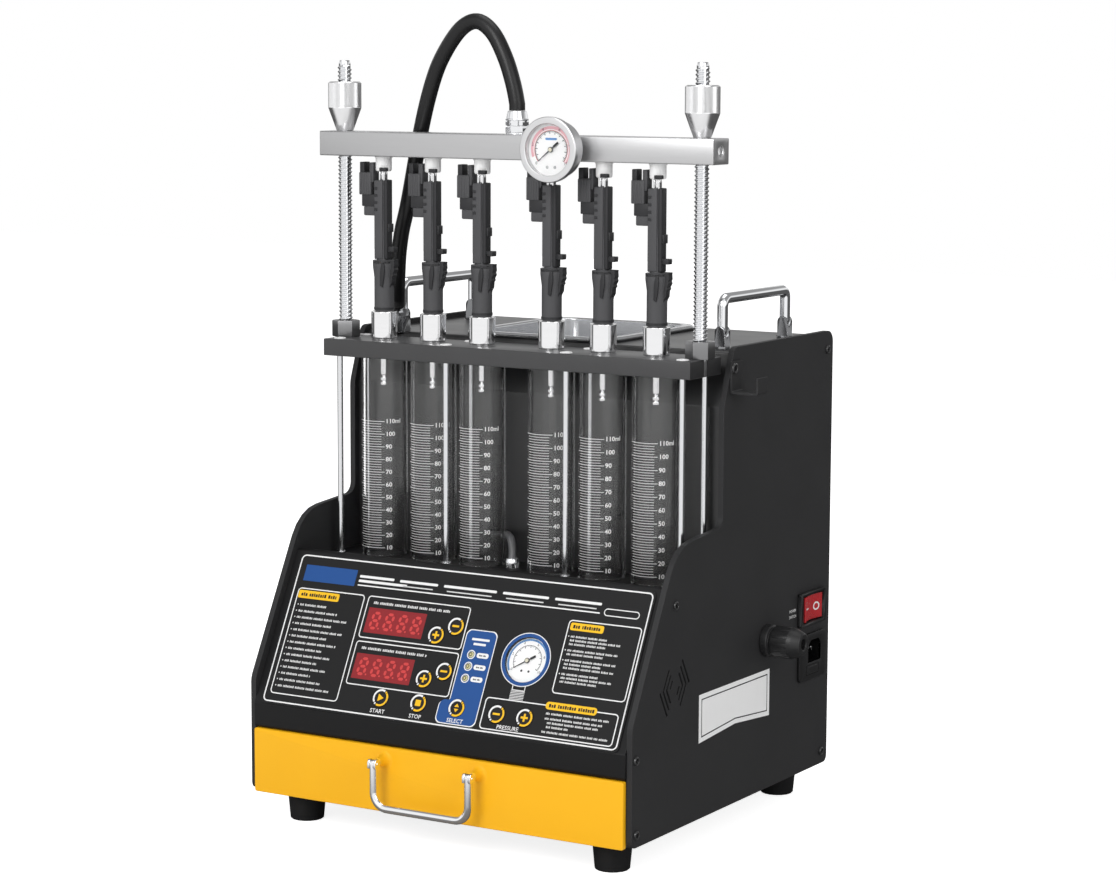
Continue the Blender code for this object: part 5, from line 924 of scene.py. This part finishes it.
def make_tubes():
    """Six glass tubes with fire-polished rims, each with its white scale in millilitres."""
    wall = [(TUBE_BORE_R, TUBE_LOW), (TUBE_R, TUBE_LOW), (TUBE_R, TUBE_HIGH), (TUBE_BORE_R, TUBE_HIGH)]
    wall = eased(wall, 1.2, 4, True)
    for index, x in enumerate(TUBE_XS):
        glass = bmesh.new()
        add(glass, lathe(wall + wall[:1], 72))
        piece(f"tube_glass_{index + 1}", glass, "machine", [TUBE_GLASS], MACHINE @ at(x, TUBE_Y),
              (f"measuring_tube_{index + 1}",), 50.0)

    def wrap(shape):
        """Bends flat print on X and Y round the tube: X is the length round, Y the height."""
        for vert in shape.verts:
            angle = math.radians(-90.0) + vert.co.x / TUBE_R
            out = TUBE_R + 0.03 + vert.co.z
            vert.co = (out * math.cos(angle), out * math.sin(angle), vert.co.y)

    def along(degrees):
        return math.radians(degrees) * TUBE_R
    facing = 36.0
    for index, x in enumerate(TUBE_XS):
        scale = bmesh.new()
        for mark in range(10, 111, 2):
            z = MARK_10_Z + (mark - 10) * MM_PER_ML
            long = mark % 10 == 0
            start, end = (facing - 82.0, facing - 2.0) if long else (facing - 72.0, facing - 10.0)
            line = slab(oblong(along(end - start) / 2, 0.25 if long else 0.2, 0.0, (along(start + end) / 2, z)),
                        0.0, 0.03)
            bmesh.ops.subdivide_edges(line, edges=[e for e in line.edges if e.calc_length() > 3.0], cuts=12)
            add(scale, line)
            if long:
                words = "110ml" if mark == 110 else str(mark)
                text = letters(words, 3.9, "LEFT", 0.12)
                text.transform(Matrix.Diagonal((1.06, 1.0, 1.0, 1.0)))
                add(scale, text, at(along(facing + 0.5), z, 0.03))
        wrap(scale)
        piece(f"tube_scale_{index + 1}", scale, "machine", [SCALE_WHITE], MACHINE @ at(x, TUBE_Y), smooth=60.0,
              closed=False)


def make_socket_plate():
    """The black plate, its bright sockets, nozzles and support rods, and the two lock nuts."""
    low, high = 390.2, 404.8
    front, back, half = 104.0, 157.4, 180.1
    whole = bmesh.new()
    plate = slab(oblong(half, (back - front) / 2, 0.0, (0.0, (front + back) / 2)), low, high)
    bevel(plate, plate.edges[:], 0.8, 3)
    add(whole, plate)
    whole.normal_update()
    # the plate's two end faces take the darker coat: painted shade
    for face in whole.faces:
        if abs(face.normal.x) > 0.9:
            face.material_index = 4
    collar = [(0.0, high - 0.2), (10.6, high - 0.2), (10.6, high + 1.0), (11.25, high + 1.4), (11.25, high + 2.6),
              (11.25, 427.6), (11.25, 428.9), (5.6, 428.9), (5.4, 413.9), (0.0, 413.9)]
    nozzle = [(0.0, low + 0.2), (6.0, low + 0.2), (6.0, low - 2.5), (3.1, low - 3.2), (3.1, 374.0), (1.9, 373.2),
              (1.9, 371.6), (3.3, 371.2), (3.3, 368.8), (2.0, 368.4), (2.0, 367.6), (3.3, 367.2), (3.3, 365.0),
              (2.6, 364.4), (0.0, 364.4)]
    for x in TUBE_XS:
        add(whole, turned(collar, 0.7, 56, 3), at(x, TUBE_Y), 1)
        add(whole, turned(nozzle, 0.4, 32), at(x, TUBE_Y), 1)
    rod = [(0.0, 217.3), (2.5, 217.3), (2.5, 218.4), (2.5, low - 0.9), (2.5, low + 0.2), (0.0, low + 0.2)]
    cap = [(0.0, high - 0.2), (5.2, high - 0.2), (5.2, high + 0.5), (4.6, high + 0.9), (2.2, high + 1.0),
           (2.0, high + 0.4), (0.0, high + 0.4)]
    foot = [(0.0, 217.35), (4.2, 217.35), (4.2, 218.6), (2.6, 219.4), (2.4, 219.4), (0.0, 219.5)]
    for x, y in SUPPORT_PLACES:
        add(whole, turned(rod, 0.5, 32), at(x, y), 2)
        add(whole, turned(cap, 0.25, 32), at(x, y), 3)
        add(whole, turned(foot, 0.3, 28), at(x, y), 2)
    for x in (-ROD_X, ROD_X):
        add(whole, slab(hexagon(21.0), high, high + 14.6, [ring(6.3, 36)], edge=0.9), at(x, TUBE_Y), 5)
    piece("socket_plate_set", whole, "machine",
          [SOCKET_COAT, STEEL, SOCKET_STEEL, WHITE_PLASTIC, SOCKET_END_SHADE, LOCK_NUT], instead_of=("socket_plate",))


def make_threaded_rods():
    """A helical thread: one pitch of the profile spun up the rod, then a plain chamfered tip."""
    pitch, crest, root = 3.5, 6.0, 4.9
    low, high = 405.5, 642.4
    turns = int((high - low) / pitch)
    for side, x in (("left", -ROD_X), ("right", ROD_X)):
        rod = bmesh.new()
        profile = [(root, 0.0), (root, pitch * 0.12), (crest, pitch * 0.42), (crest, pitch * 0.58),
                   (root, pitch * 0.88), (root, pitch)]
        start = [rod.verts.new((radius, 0.0, low + height)) for radius, height in profile]
        chain = [rod.edges.new(pair) for pair in zip(start, start[1:])]
        steps = 20
        bmesh.ops.spin(rod, geom=start + chain, cent=(0, 0, 0), axis=(0, 0, 1), angle=math.tau * (turns - 1),
                       steps=steps * (turns - 1), dvec=(0.0, 0.0, pitch / steps), use_merge=False)
        bmesh.ops.remove_doubles(rod, verts=rod.verts, dist=0.002)
        # faces in the thread's roots take the darker plating: painted shade in the grooves
        for face in rod.faces:
            middle = face.calc_center_median()
            face.material_index = 1 if math.hypot(middle.x, middle.y) < root + 0.2 else 0
        top = low + turns * pitch
        add(rod, turned([(0.0, 391.0), (5.0, 391.0), (5.0, top + 0.4), (4.4, 643.2), (0.0, 643.3)], 0.3, 28))
        add(rod, turned([(0.0, 391.0), (5.9, 391.0), (5.9, 406.6), (0.0, 407.4)], 0.3, 28))
        piece(f"thread_{side}", rod, "machine", [CHROME_THREAD, THREAD_ROOT_SHADE], MACHINE @ at(x, TUBE_Y),
              (f"threaded_rod_{side}",), 28.0)


# Fuel rail, its couplers, fitting, gauge and knurled nuts

def hose_fitting(low):
    """A hose fitting: hexagon with a turned groove, a ring, and a crimped cone round the hose."""
    fitting = bmesh.new()
    foot = [(0.0, low), (9.3, low), (9.3, low + 0.9), (8.6, low + 1.2), (0.0, low + 1.2)]
    add(fitting, turned(foot, 0.2, 36))
    for start, end in ((1.0, 7.0), (7.3, 11.6)):
        add(fitting, slab(hexagon(16.8), low + start, low + end, edge=0.5))
    cone = [(0.0, low + 7.0), (8.6, low + 7.0), (8.6, low + 11.4), (9.6, low + 11.6), (9.6, low + 12.6),
            (9.2, low + 12.9), (7.9, low + 19.3), (7.2, low + 19.5), (0.0, low + 19.5)]
    add(fitting, turned(cone, 0.3, 48, 3))
    return fitting


KNURL_STEPS = 2 * 84


def make_rail():
    half, front, back, low, high = 192.0, 117.2, 143.7, 561.8, 582.8
    whole = bmesh.new()
    section = oblong((back - front) / 2, (high - low) / 2, 1.1, ((front + back) / 2, (low + high) / 2), 3)
    bore = (130.4, 572.4)
    add(whole, slab(section, -half, half, [ring(5.0, 36, bore)], edge=0.5), FROM_SIDE)
    thread = eased([(4.3, -1.0), (5.1, -1.0), (5.1, -2.6), (4.3, -2.6)], 0.2, 1, True)
    for side in (-1, 1):
        end = Matrix.Translation((side * half, *bore)) @ Matrix.Scale(side, 4) @ ALONG_X
        # a black cup lining each end of the bore: painted shade inside the hole
        add(whole, lathe([(5.2, -0.3), (5.2, -9.0), (0.0, -9.0)], 36), end, 4)
        add(whole, lathe(thread + thread[:1], 36), end, 3)
    coupler = [(4.0, 549.0), (6.0, 549.0), (6.9, 550.2), (6.9, 560.6), (6.4, 561.9), (0.0, 561.9), (0.0, 553.0),
               (4.0, 553.0), (4.0, 549.0)]
    for x in TUBE_XS:
        add(whole, lathe(eased(coupler[:-1], 0.4, 2) + coupler[-1:], 40), at(x, TUBE_Y), 1)
        add(whole, block((x + 1.2, 121.6, 549.2), (x + 8.2, 125.6, 552.4), 0.5), finish=2)
        add(whole, turned([(6.4, 560.4), (7.6, 560.4), (7.6, 561.8), (6.4, 561.8), (6.4, 560.4)], 0.2, 40, 1),
            at(x, TUBE_Y), 1)
    add(whole, hose_fitting(high), at(0.0, TUBE_Y), 3)
    piece("fuel_rail", whole, "rail", [ALUMINIUM, WHITE_PLASTIC, INJECTOR_DARK, CHROME, FILM_BLACK_AND_BORE_SHADE],
          instead_of=("rail",))
    for side, x in (("left", -ROD_X), ("right", ROD_X)):
        nut = bmesh.new()
        cone = [(6.4, 583.1), (7.2, 583.1), (14.25, 602.5), (14.25, 603.0), (13.2, 603.0)]
        add(nut, turned(cone, 0.3, 72))
        outline = []
        for step in range(KNURL_STEPS):
            radius, angle = 14.25 if step % 2 else 14.0, math.tau * step / KNURL_STEPS
            outline.append((radius * math.cos(angle), radius * math.sin(angle)))
        add(nut, slab(outline, 602.9, 623.8, [ring(6.4, KNURL_STEPS)]))
        rim = [(6.4, 623.7), (13.7, 623.7), (13.7, 624.3), (13.0, 625.0), (6.9, 625.0), (6.4, 624.4)]
        add(nut, turned(rim, 0.3, 72))
        piece(f"knurled_grip_{side}", nut, f"knurled_nut_{side}", [NUT_STEEL], MACHINE @ at(x, TUBE_Y),
              (f"knurled_nut_{side}",), 24.0)


def make_rail_gauge():
    """The gauge in the rail's front: steel case and bezel, white face, red band, pointer and glass."""
    place = MACHINE @ at(53.7, 0.0, 572.0) @ FACING_FRONT
    case = bmesh.new()
    body = [(0.0, -116.8), (7.0, -116.8), (7.0, -108.6), (22.6, -108.5), (23.5, -107.6), (23.5, -97.4), (26.0, -97.2),
            (26.8, -96.0), (26.8, -91.2), (26.2, -90.5), (21.5, -90.4), (21.2, -90.8), (21.2, -97.2), (0.0, -97.2)]
    add(case, turned(body, 0.45, 96, 4))
    add(case, slab(hexagon(14.0), -116.6, -109.0, edge=0.5))
    piece("gauge_case", case, "rail", [GAUGE_STEEL], place, ("rail_gauge_case",))
    face = bmesh.new()
    level = -97.0
    add(face, lathe([(0.0, level + 0.2), (21.1, level + 0.2), (21.1, level), (0.0, level)], 72))
    dial_marks(face, 21.0, level + 0.19, level + 0.27, 219.0, 258.0, (0, 2, 4, 6, 8, 10), 1, 1, 50)
    add(face, slab(arc_band(16.4, 18.8, 200.0, -39.0, 60), level + 0.17, level + 0.22), finish=5)
    add(face, slab(arc_band(15.3, 15.7, 219.0, -39.0, 60), level + 0.18, level + 0.25), finish=2)
    add(face, patch(-5.4, 5.4, 7.6, 9.4, 0.8, level + 0.18, level + 0.25), finish=3)
    screw = [(0.0, level + 0.9), (1.0, level + 0.8), (1.4, level + 0.2), (0.0, level + 0.2)]
    for x in (-3.6, 3.6):
        add(face, turned(screw, 0.2, 20), at(x, -14.2), 4)
    piece("gauge_face", face, "rail", [DIAL_WHITE, POINTER_BLACK, DIAL_RED, DIAL_BLUE, SATIN_STEEL, DIAL_PINK], place,
          closed=False)
    make_pointer("gauge_pointer", "rail_gauge_pointer", 21.0, 219.0, place @ at(z=-95.6))
    lens = bmesh.new()
    disc = [(0.0, -91.6), (20.6, -91.6), (20.9, -91.9), (20.9, -92.5), (20.6, -92.8), (0.0, -92.8)]
    add(lens, turned(disc, 0.1, 72))
    piece("gauge_glass", lens, "rail", [LENS_GLASS], place, ("rail_gauge_lens",))


# Injectors

INJECTOR_BLOCKS = (
    # half shell down the shaft, in front of the round core
    ((-5.9, -6.6, 44.6), (2.6, 2.0, 112.2), 0.9, 3, 0), ((3.1, -5.4, 44.6), (6.6, 3.5, 112.6), 0.9, 3, 1),
    *(((-5.4, -7.2, z), (-2.2, -6.0, z + 2.4), 0.25, 1, 1) for z in (86.0, 92.0, 98.0, 104.0)),
    # plug: block with ribs, stepped neck and two prongs
    ((-21.9, -6.0, 99.5), (-9.6, 6.0, 118.7), 0.9, 3, 0),
    *(((-20.6 + rib * 2.7, -6.5, 100.6), (-19.5 + rib * 2.7, -5.4, 118.0), 0.3, 2, 0) for rib in range(4)),
    ((-19.6, -5.2, 89.6), (-6.0, 5.2, 99.9), 0.8, 2, 1), ((-20.6, -3.0, 90.8), (-18.4, 3.0, 95.4), 0.5, 2, 0),
    ((-18.1, -4.6, 81.7), (-4.0, 4.6, 90.0), 1.2, 3, 0), ((-21.9, -4.6, 118.0), (-17.3, 4.6, 127.5), 0.6, 2, 1),
    ((-11.9, -4.6, 110.0), (-7.8, 4.6, 127.2), 0.6, 2, 0),
    # tabs to the right
    ((4.0, -3.4, 67.8), (7.9, 3.4, 75.1), 0.5, 2, 1), ((4.0, -3.4, 51.0), (12.1, 3.4, 55.4), 0.5, 2, 1),
)


def make_injectors():
    """Each injector: tip, sleeve with its latch, ribbed shaft, electrical plug, tabs and two contact pins."""
    base = 429.2
    for index, x in enumerate(TUBE_XS):
        body = bmesh.new()
        turned_body = [(0.0, -11.0), (3.9, -11.0), (4.6, -10.0), (4.6, 0.0), (8.3, 0.0), (8.5, 0.8), (8.5, 29.0),
                       (9.7, 38.5), (9.7, 43.7), (6.6, 43.7), (6.2, 44.6), (5.9, 50.0), (5.9, 68.0), (5.6, 80.0),
                       (5.6, 111.7), (4.6, 112.7), (0.0, 112.7)]
        add(body, turned(turned_body, 0.5, 40))
        neck = [(0.0, 112.0), (3.2, 112.4), (3.2, 117.0), (2.6, 124.8), (0.0, 125.0)]
        add(body, turned(neck, 0.3, 28), finish=2)
        pin = [(0.0, 112.0), (0.8, 112.0), (0.8, 119.4), (0.5, 119.8), (0.0, 119.8)]
        for offset in (-1.2, 3.4):
            add(body, turned(pin, 0.2, 14), at(offset, -4.4), 2)
        for low, high, edge, segments, finish in INJECTOR_BLOCKS:
            add(body, block(low, high, edge, segments), finish=finish)
        latch = [(4.0, 16.0), (7.2, 17.0), (8.4, 22.0), (10.0, 24.6), (10.4, 29.6), (11.6, 30.7), (11.0, 32.4),
                 (12.7, 35.4), (12.0, 37.4), (12.7, 39.0), (12.4, 42.8), (12.7, 44.5), (5.0, 44.5)]
        inset = [(1.6, 22.0), (4.2, 20.6), (6.2, 34.0), (6.0, 41.0), (3.4, 41.4), (2.0, 36.0)]
        add(body, slab(eased(latch, 0.4, 2, True), -3.5, 3.5, edge=0.4), FACING_FRONT, 1)
        add(body, slab(eased(inset, 0.8, 2, True), 7.9, 9.3, edge=0.25), FACING_FRONT, 1)
        for inner, outer, low, high, ease, finish in ((8.4, 8.9, 1.0, 3.2, 0.2, 1), (9.5, 9.7, 40.8, 43.6, 0.1, 0)):
            band = [(inner, low), (outer, low), (outer, high), (inner, high), (inner, low)]
            add(body, turned(band, ease, 40, 1), finish=finish)
        piece(f"injector_{index + 1}", body, "machine", [INJECTOR_GREY, INJECTOR_DARK, STEEL],
              MACHINE @ at(x, TUBE_Y, base), (f"fuel_injector_{index + 1}",))


# Bath, carrying handles and the right side

TRANSDUCERS_BELOW = 302.0


def make_bath():
    def bath_finish(point):
        return 1 if point.z < TRANSDUCERS_BELOW else 0
    smoothed("bath_tank", [BATH_STEEL, SATIN_STEEL], bath_finish)


def make_carry_handles():
    top, pivot, corner, radius = 448.5, 421.0, 7.0, 4.5
    front, back = 197.0, 312.0
    for side, x in (("left", -160.0), ("right", 160.0)):
        handle = bmesh.new()
        line = [(x, front, pivot), (x, front, top - corner)]
        line += [(x, front + corner + y, top - corner + z) for y, z in arc(corner, 180, 90, 8)[1:]]
        line += [(x, back - corner + y, top - corner + z) for y, z in arc(corner, 90, 0, 8)]
        line += [(x, back, pivot)]
        add(handle, pipe(line, radius, 10))
        piece(f"carry_bar_{side}", handle, f"carry_handle_{side}", [CHROME], instead_of=(f"carry_handle_{side}",))


def make_inlet():
    """The mains inlet: a flat frame, a deep cavity painted near-black as shade with three bright blades, and a fuse
    drawer.
    """
    middle, hollow, floor = (318.5, 128.7), (322.3, 133.2), -14.5
    cavity = [(-12.6, -9.8), (12.6, -9.8), (12.6, 4.8), (7.6, 9.8), (-7.6, 9.8), (-12.6, 4.8)]
    cavity = eased([(hollow[0] + x, hollow[1] + y) for x, y in cavity], 1.2, 3, True)
    inlet = bmesh.new()
    add(inlet, slab(oblong(25.5, 20.3, 4.0, middle), 0.05, 2.5, [cavity], edge=0.45))
    # the cavity's floor and walls are painted near-black as shade
    add(inlet, slab(cavity, floor - 1.0, floor), finish=1)
    wall = bmesh.new()
    inner = [wall.verts.new((x, y, 2.1)) for x, y in cavity]
    outer = [wall.verts.new((x, y, floor)) for x, y in cavity]
    for index, corner in enumerate(inner):
        after = (index + 1) % len(inner)
        wall.faces.new((corner, inner[after], outer[after], outer[index]))
    bmesh.ops.recalc_face_normals(wall, faces=wall.faces)
    bmesh.ops.reverse_faces(wall, faces=wall.faces)
    add(inlet, wall, finish=1)
    for x, y in ((-6.5, 0.0), (0.0, 2.0), (6.5, 0.0)):
        foot = Vector((hollow[0] + x, hollow[1] + y, floor))
        add(inlet, block(foot - Vector((1.0, 2.0, 0.0)), foot + Vector((1.0, 2.0, -3.4 - floor)), 0.4, 2), finish=2)
    fuse = (318.5, 117.2)
    add(inlet, slab(oblong(9.0, 2.6, 0.6, fuse), 2.4, 2.8, edge=0.15, segments=1))
    add(inlet, slab(oblong(12.0, 4.6, 1.0, fuse), 2.45, 2.56, [oblong(11.4, 4.0, 0.8, fuse)]), finish=1)
    piece("inlet_body", inlet, "machine", [MOULDED, RECESS_SHADE_AND_GAP, STEEL], RIGHT_FACE, ("power_inlet",),
          closed=False)


ROCKER_Z = 172.0


def make_right_side():
    refinish("hook_bracket", HOOK_COAT)
    hook_screw = bmesh.new()
    add(hook_screw, screw_head(4.7, 1.6), at(166.2, 394.6, 1.85), None)
    piece("hook_screw", hook_screw, "machine", [SCREW_BLACK, RECESS_SHADE_AND_GAP], RIGHT_FACE)
    smoothed("switch_bezel", [MOULDED])
    make_inlet()

    # the cap's own outline over its pivot, seen from above: towards the back, and outwards
    pivot = (PLATE_OUTER_X + 3.55 - 8.0, 316.5)
    outline = [(-17.5, 9.3), (-9.0, 6.6), (0.0, 5.4), (9.0, 6.2), (18.6, 7.6), (16.4, -1.0), (7.0, -2.2),
               (-7.0, -2.2), (-16.0, -1.0)]
    rocker = slab(eased(outline, 1.4, 3, True), -10.9, 10.9, edge=0.6, segments=3)
    rocker.transform(Matrix(((0, 1, 0, pivot[0]), (1, 0, 0, pivot[1]), (0, 0, 1, ROCKER_Z), (0, 0, 0, 1))))
    face = BVHTree.FromBMesh(rocker)
    piece("rocker_cap", rocker, "rocker_switch", [ROCKER_RED], instead_of=("rocker_switch",), smooth=30.0)

    marks = bmesh.new()
    add(marks, slab(oblong(3.4, 0.6, 0.0, (306.4, ROCKER_Z)), 0.0, 0.05))
    outer, inner = ([(325.2 + x * 1.35, ROCKER_Z + z) for x, z in ring(radius, 32)] for radius in (3.7, 2.5))
    add(marks, slab(outer, 0.0, 0.05, [inner]))
    marks.transform(FROM_SIDE)
    for vert in marks.verts:
        start = Vector((PLATE_OUTER_X + 40.0, vert.co.y, vert.co.z))
        hit = face.ray_cast(start, Vector((-1.0, 0.0, 0.0)))[0]
        if hit:
            vert.co.x += hit.x + 0.03
    piece("rocker_marks", marks, "rocker_switch", [FILM_WHITE], closed=False)

    words = bmesh.new()
    for text, y, z in (("POWER", 283.0, 173.6), ("SWITCH", 283.0, 168.6)):
        add(words, letters(text, 2.6, bold=0.03), at(y, z, 0.06))
    piece("switch_words", words, "machine", [FILM_WHITE], RIGHT_FACE, closed=False)

    gland = bmesh.new()
    profile = [(0.0, 0.3), (13.6, 0.3), (13.8, 0.8), (13.8, 6.4), (13.0, 7.0), (12.0, 7.4), (12.0, 8.2), (12.9, 8.8),
               (13.4, 10.0), (13.4, 25.0), (12.6, 28.4), (10.8, 32.6), (9.5, 35.4), (8.6, 36.0), (5.4, 36.0),
               (4.6, 35.2), (4.6, 20.0), (0.0, 20.0)]
    add(gland, turned(profile, 0.6, 64, 3))
    for tooth in range(12):
        add(gland, block((12.6, -1.3, 9.6), (13.85, 1.3, 25.4), 0.45, 2), at(turn=30.0 * tooth))
    place = MACHINE @ Matrix.Translation((PLATE_OUTER_X, 233.0, 156.8)) @ ALONG_X
    piece("gland_body", gland, "machine", [GLAND_NYLON], place, ("cable_gland",))


# Floor, backdrop and lights

AMBIENT = 0.40
SIDE_LEVEL = 0.10
SKY_LEVEL = 0.95
OVERHEAD_SHARE = 0.34
# the floor's grey as the metals mirror it: a painted dark reflection
FLOOR_PAINTED_REFLECTION = 0.22
FLOOR_LIFT = 0.84
OPEN_FLOOR = (0.30, 0.50)
FRONT = (0.14, -0.99, 0.0)


def backdrop_material(name, colour):
    """Pale card: white as the camera and the glass see it, with the object's shadow kept; in reflections it is painted
    dark grey near the object, a painted dark reflection, and clear further out.
    """
    material = bpy.data.materials.new(name)
    net = Net(material)
    shader = net.tree.nodes["Principled BSDF"]
    place = net.add("TexCoord").outputs["Object"]
    rays = net.add("LightPath").outputs
    cloud = net.noise(place, 3.0)
    # painted reflection: the floor turns dark grey only where the metals mirror it
    shade = net.mixed(rays["Is Glossy Ray"], colour, (FLOOR_PAINTED_REFLECTION, FLOOR_PAINTED_REFLECTION, FLOOR_PAINTED_REFLECTION, 1.0))
    net.fill(shader, {"Base Color": shade, "Roughness": net.graded(cloud, 0.0, 1.0, 0.85, 0.95)})
    seen = net.sum("MAXIMUM", rays["Is Camera Ray"], rays["Is Transmission Ray"])
    lift = net.add("Emission", {"Strength": net.sum("MULTIPLY", seen, FLOOR_LIFT)})
    both = net.add("AddShader", {0: shader.outputs["BSDF"], 1: lift.outputs["Emission"]}).outputs["Shader"]
    away = net.add("VectorMath", {0: place}, "LENGTH").outputs["Value"]
    passed = net.sum("MULTIPLY", net.graded(away, *OPEN_FLOOR), rays["Is Glossy Ray"])
    clear = net.add("BsdfTransparent").outputs["BSDF"]
    net.fill(net.tree.nodes["Material Output"], {"Surface": net.blended(passed, both, clear)})
    return material


def make_floor():
    floor = bmesh.new()
    bmesh.ops.create_grid(floor, x_segments=4, y_segments=4, size=6.0)
    mesh = as_mesh("floor", floor)
    mesh.materials.append(backdrop_material("floor_card", (0.92, 0.92, 0.92, 1.0)))
    linked("floor", mesh)


def make_world():
    """White as the camera sees it; for the metals a bright front and back with darker sides, as in a studio."""
    world = bpy.data.worlds.new("studio")
    bpy.context.scene.world = world
    net = Net(world)
    direction = net.add("TexCoord").outputs["Generated"]
    front = net.add("VectorMath", {0: direction, 1: FRONT}, "DOT_PRODUCT").outputs["Value"]
    ahead = net.graded(front, 0.12, 0.46, SIDE_LEVEL, 1.0, "SMOOTHSTEP")
    height = net.add("SeparateXYZ", {0: direction}).outputs["Z"]
    above = net.graded(height, -0.02, 0.14, 0.0, SKY_LEVEL, "SMOOTHSTEP")
    overhead = net.graded(height, 0.22, 0.42, 1.0, OVERHEAD_SHARE, "SMOOTHSTEP")
    sides = net.sum("MAXIMUM", ahead, net.sum("MULTIPLY", above, overhead))
    rays = net.add("LightPath").outputs
    seen = net.sum("MAXIMUM", rays["Is Camera Ray"], rays["Is Transmission Ray"])
    mirrored = net.mixed(rays["Is Glossy Ray"], AMBIENT, sides, "FLOAT")
    level = net.mixed(seen, mirrored, 1.0, "FLOAT")
    net.fill(net.tree.nodes["Background"], {"Color": (1.0, 1.0, 1.0, 1.0), "Strength": level})


def make_lamp(name, spot, aim, power, size, size_y=None):
    light = bpy.data.lights.new(name, "AREA")
    light.energy = power
    light.shape = "RECTANGLE"
    light.size = size
    light.size_y = size_y or size
    lamp = linked(name, light)
    lamp.location = spot
    lamp.rotation_euler = (Vector(aim) - Vector(spot)).to_track_quat("-Z", "Y").to_euler()


def make_lights():
    make_lamp("key", (0.1, -2.65, 1.9), (0.0, 0.0, 0.3), 44.5, 1.2, 1.8)
    make_lamp("fill", (2.6, -1.2, 1.4), (0.0, 0.0, 0.3), 16.0, 1.4, 1.8)
    make_lamp("top", (0.0, 0.4, 2.6), (0.0, 0.0, 0.3), 14.0, 1.6, 1.6)


def main():
    bpy.context.scene.view_settings.view_transform = "Standard"
    make_camera()
    make_hose()
    dress_case()
    make_case_screws()
    make_side_label()
    make_drawer()
    make_film()
    make_print()
    make_keys()
    make_lamps()
    make_panel_dial()
    make_tubes()
    make_socket_plate()
    make_threaded_rods()
    make_rail()
    make_rail_gauge()
    make_injectors()
    make_bath()
    make_carry_handles()
    make_right_side()
    smoothed("control_board", [BOARD_GREEN])
    make_floor()
    make_world()
    make_lights()


main()
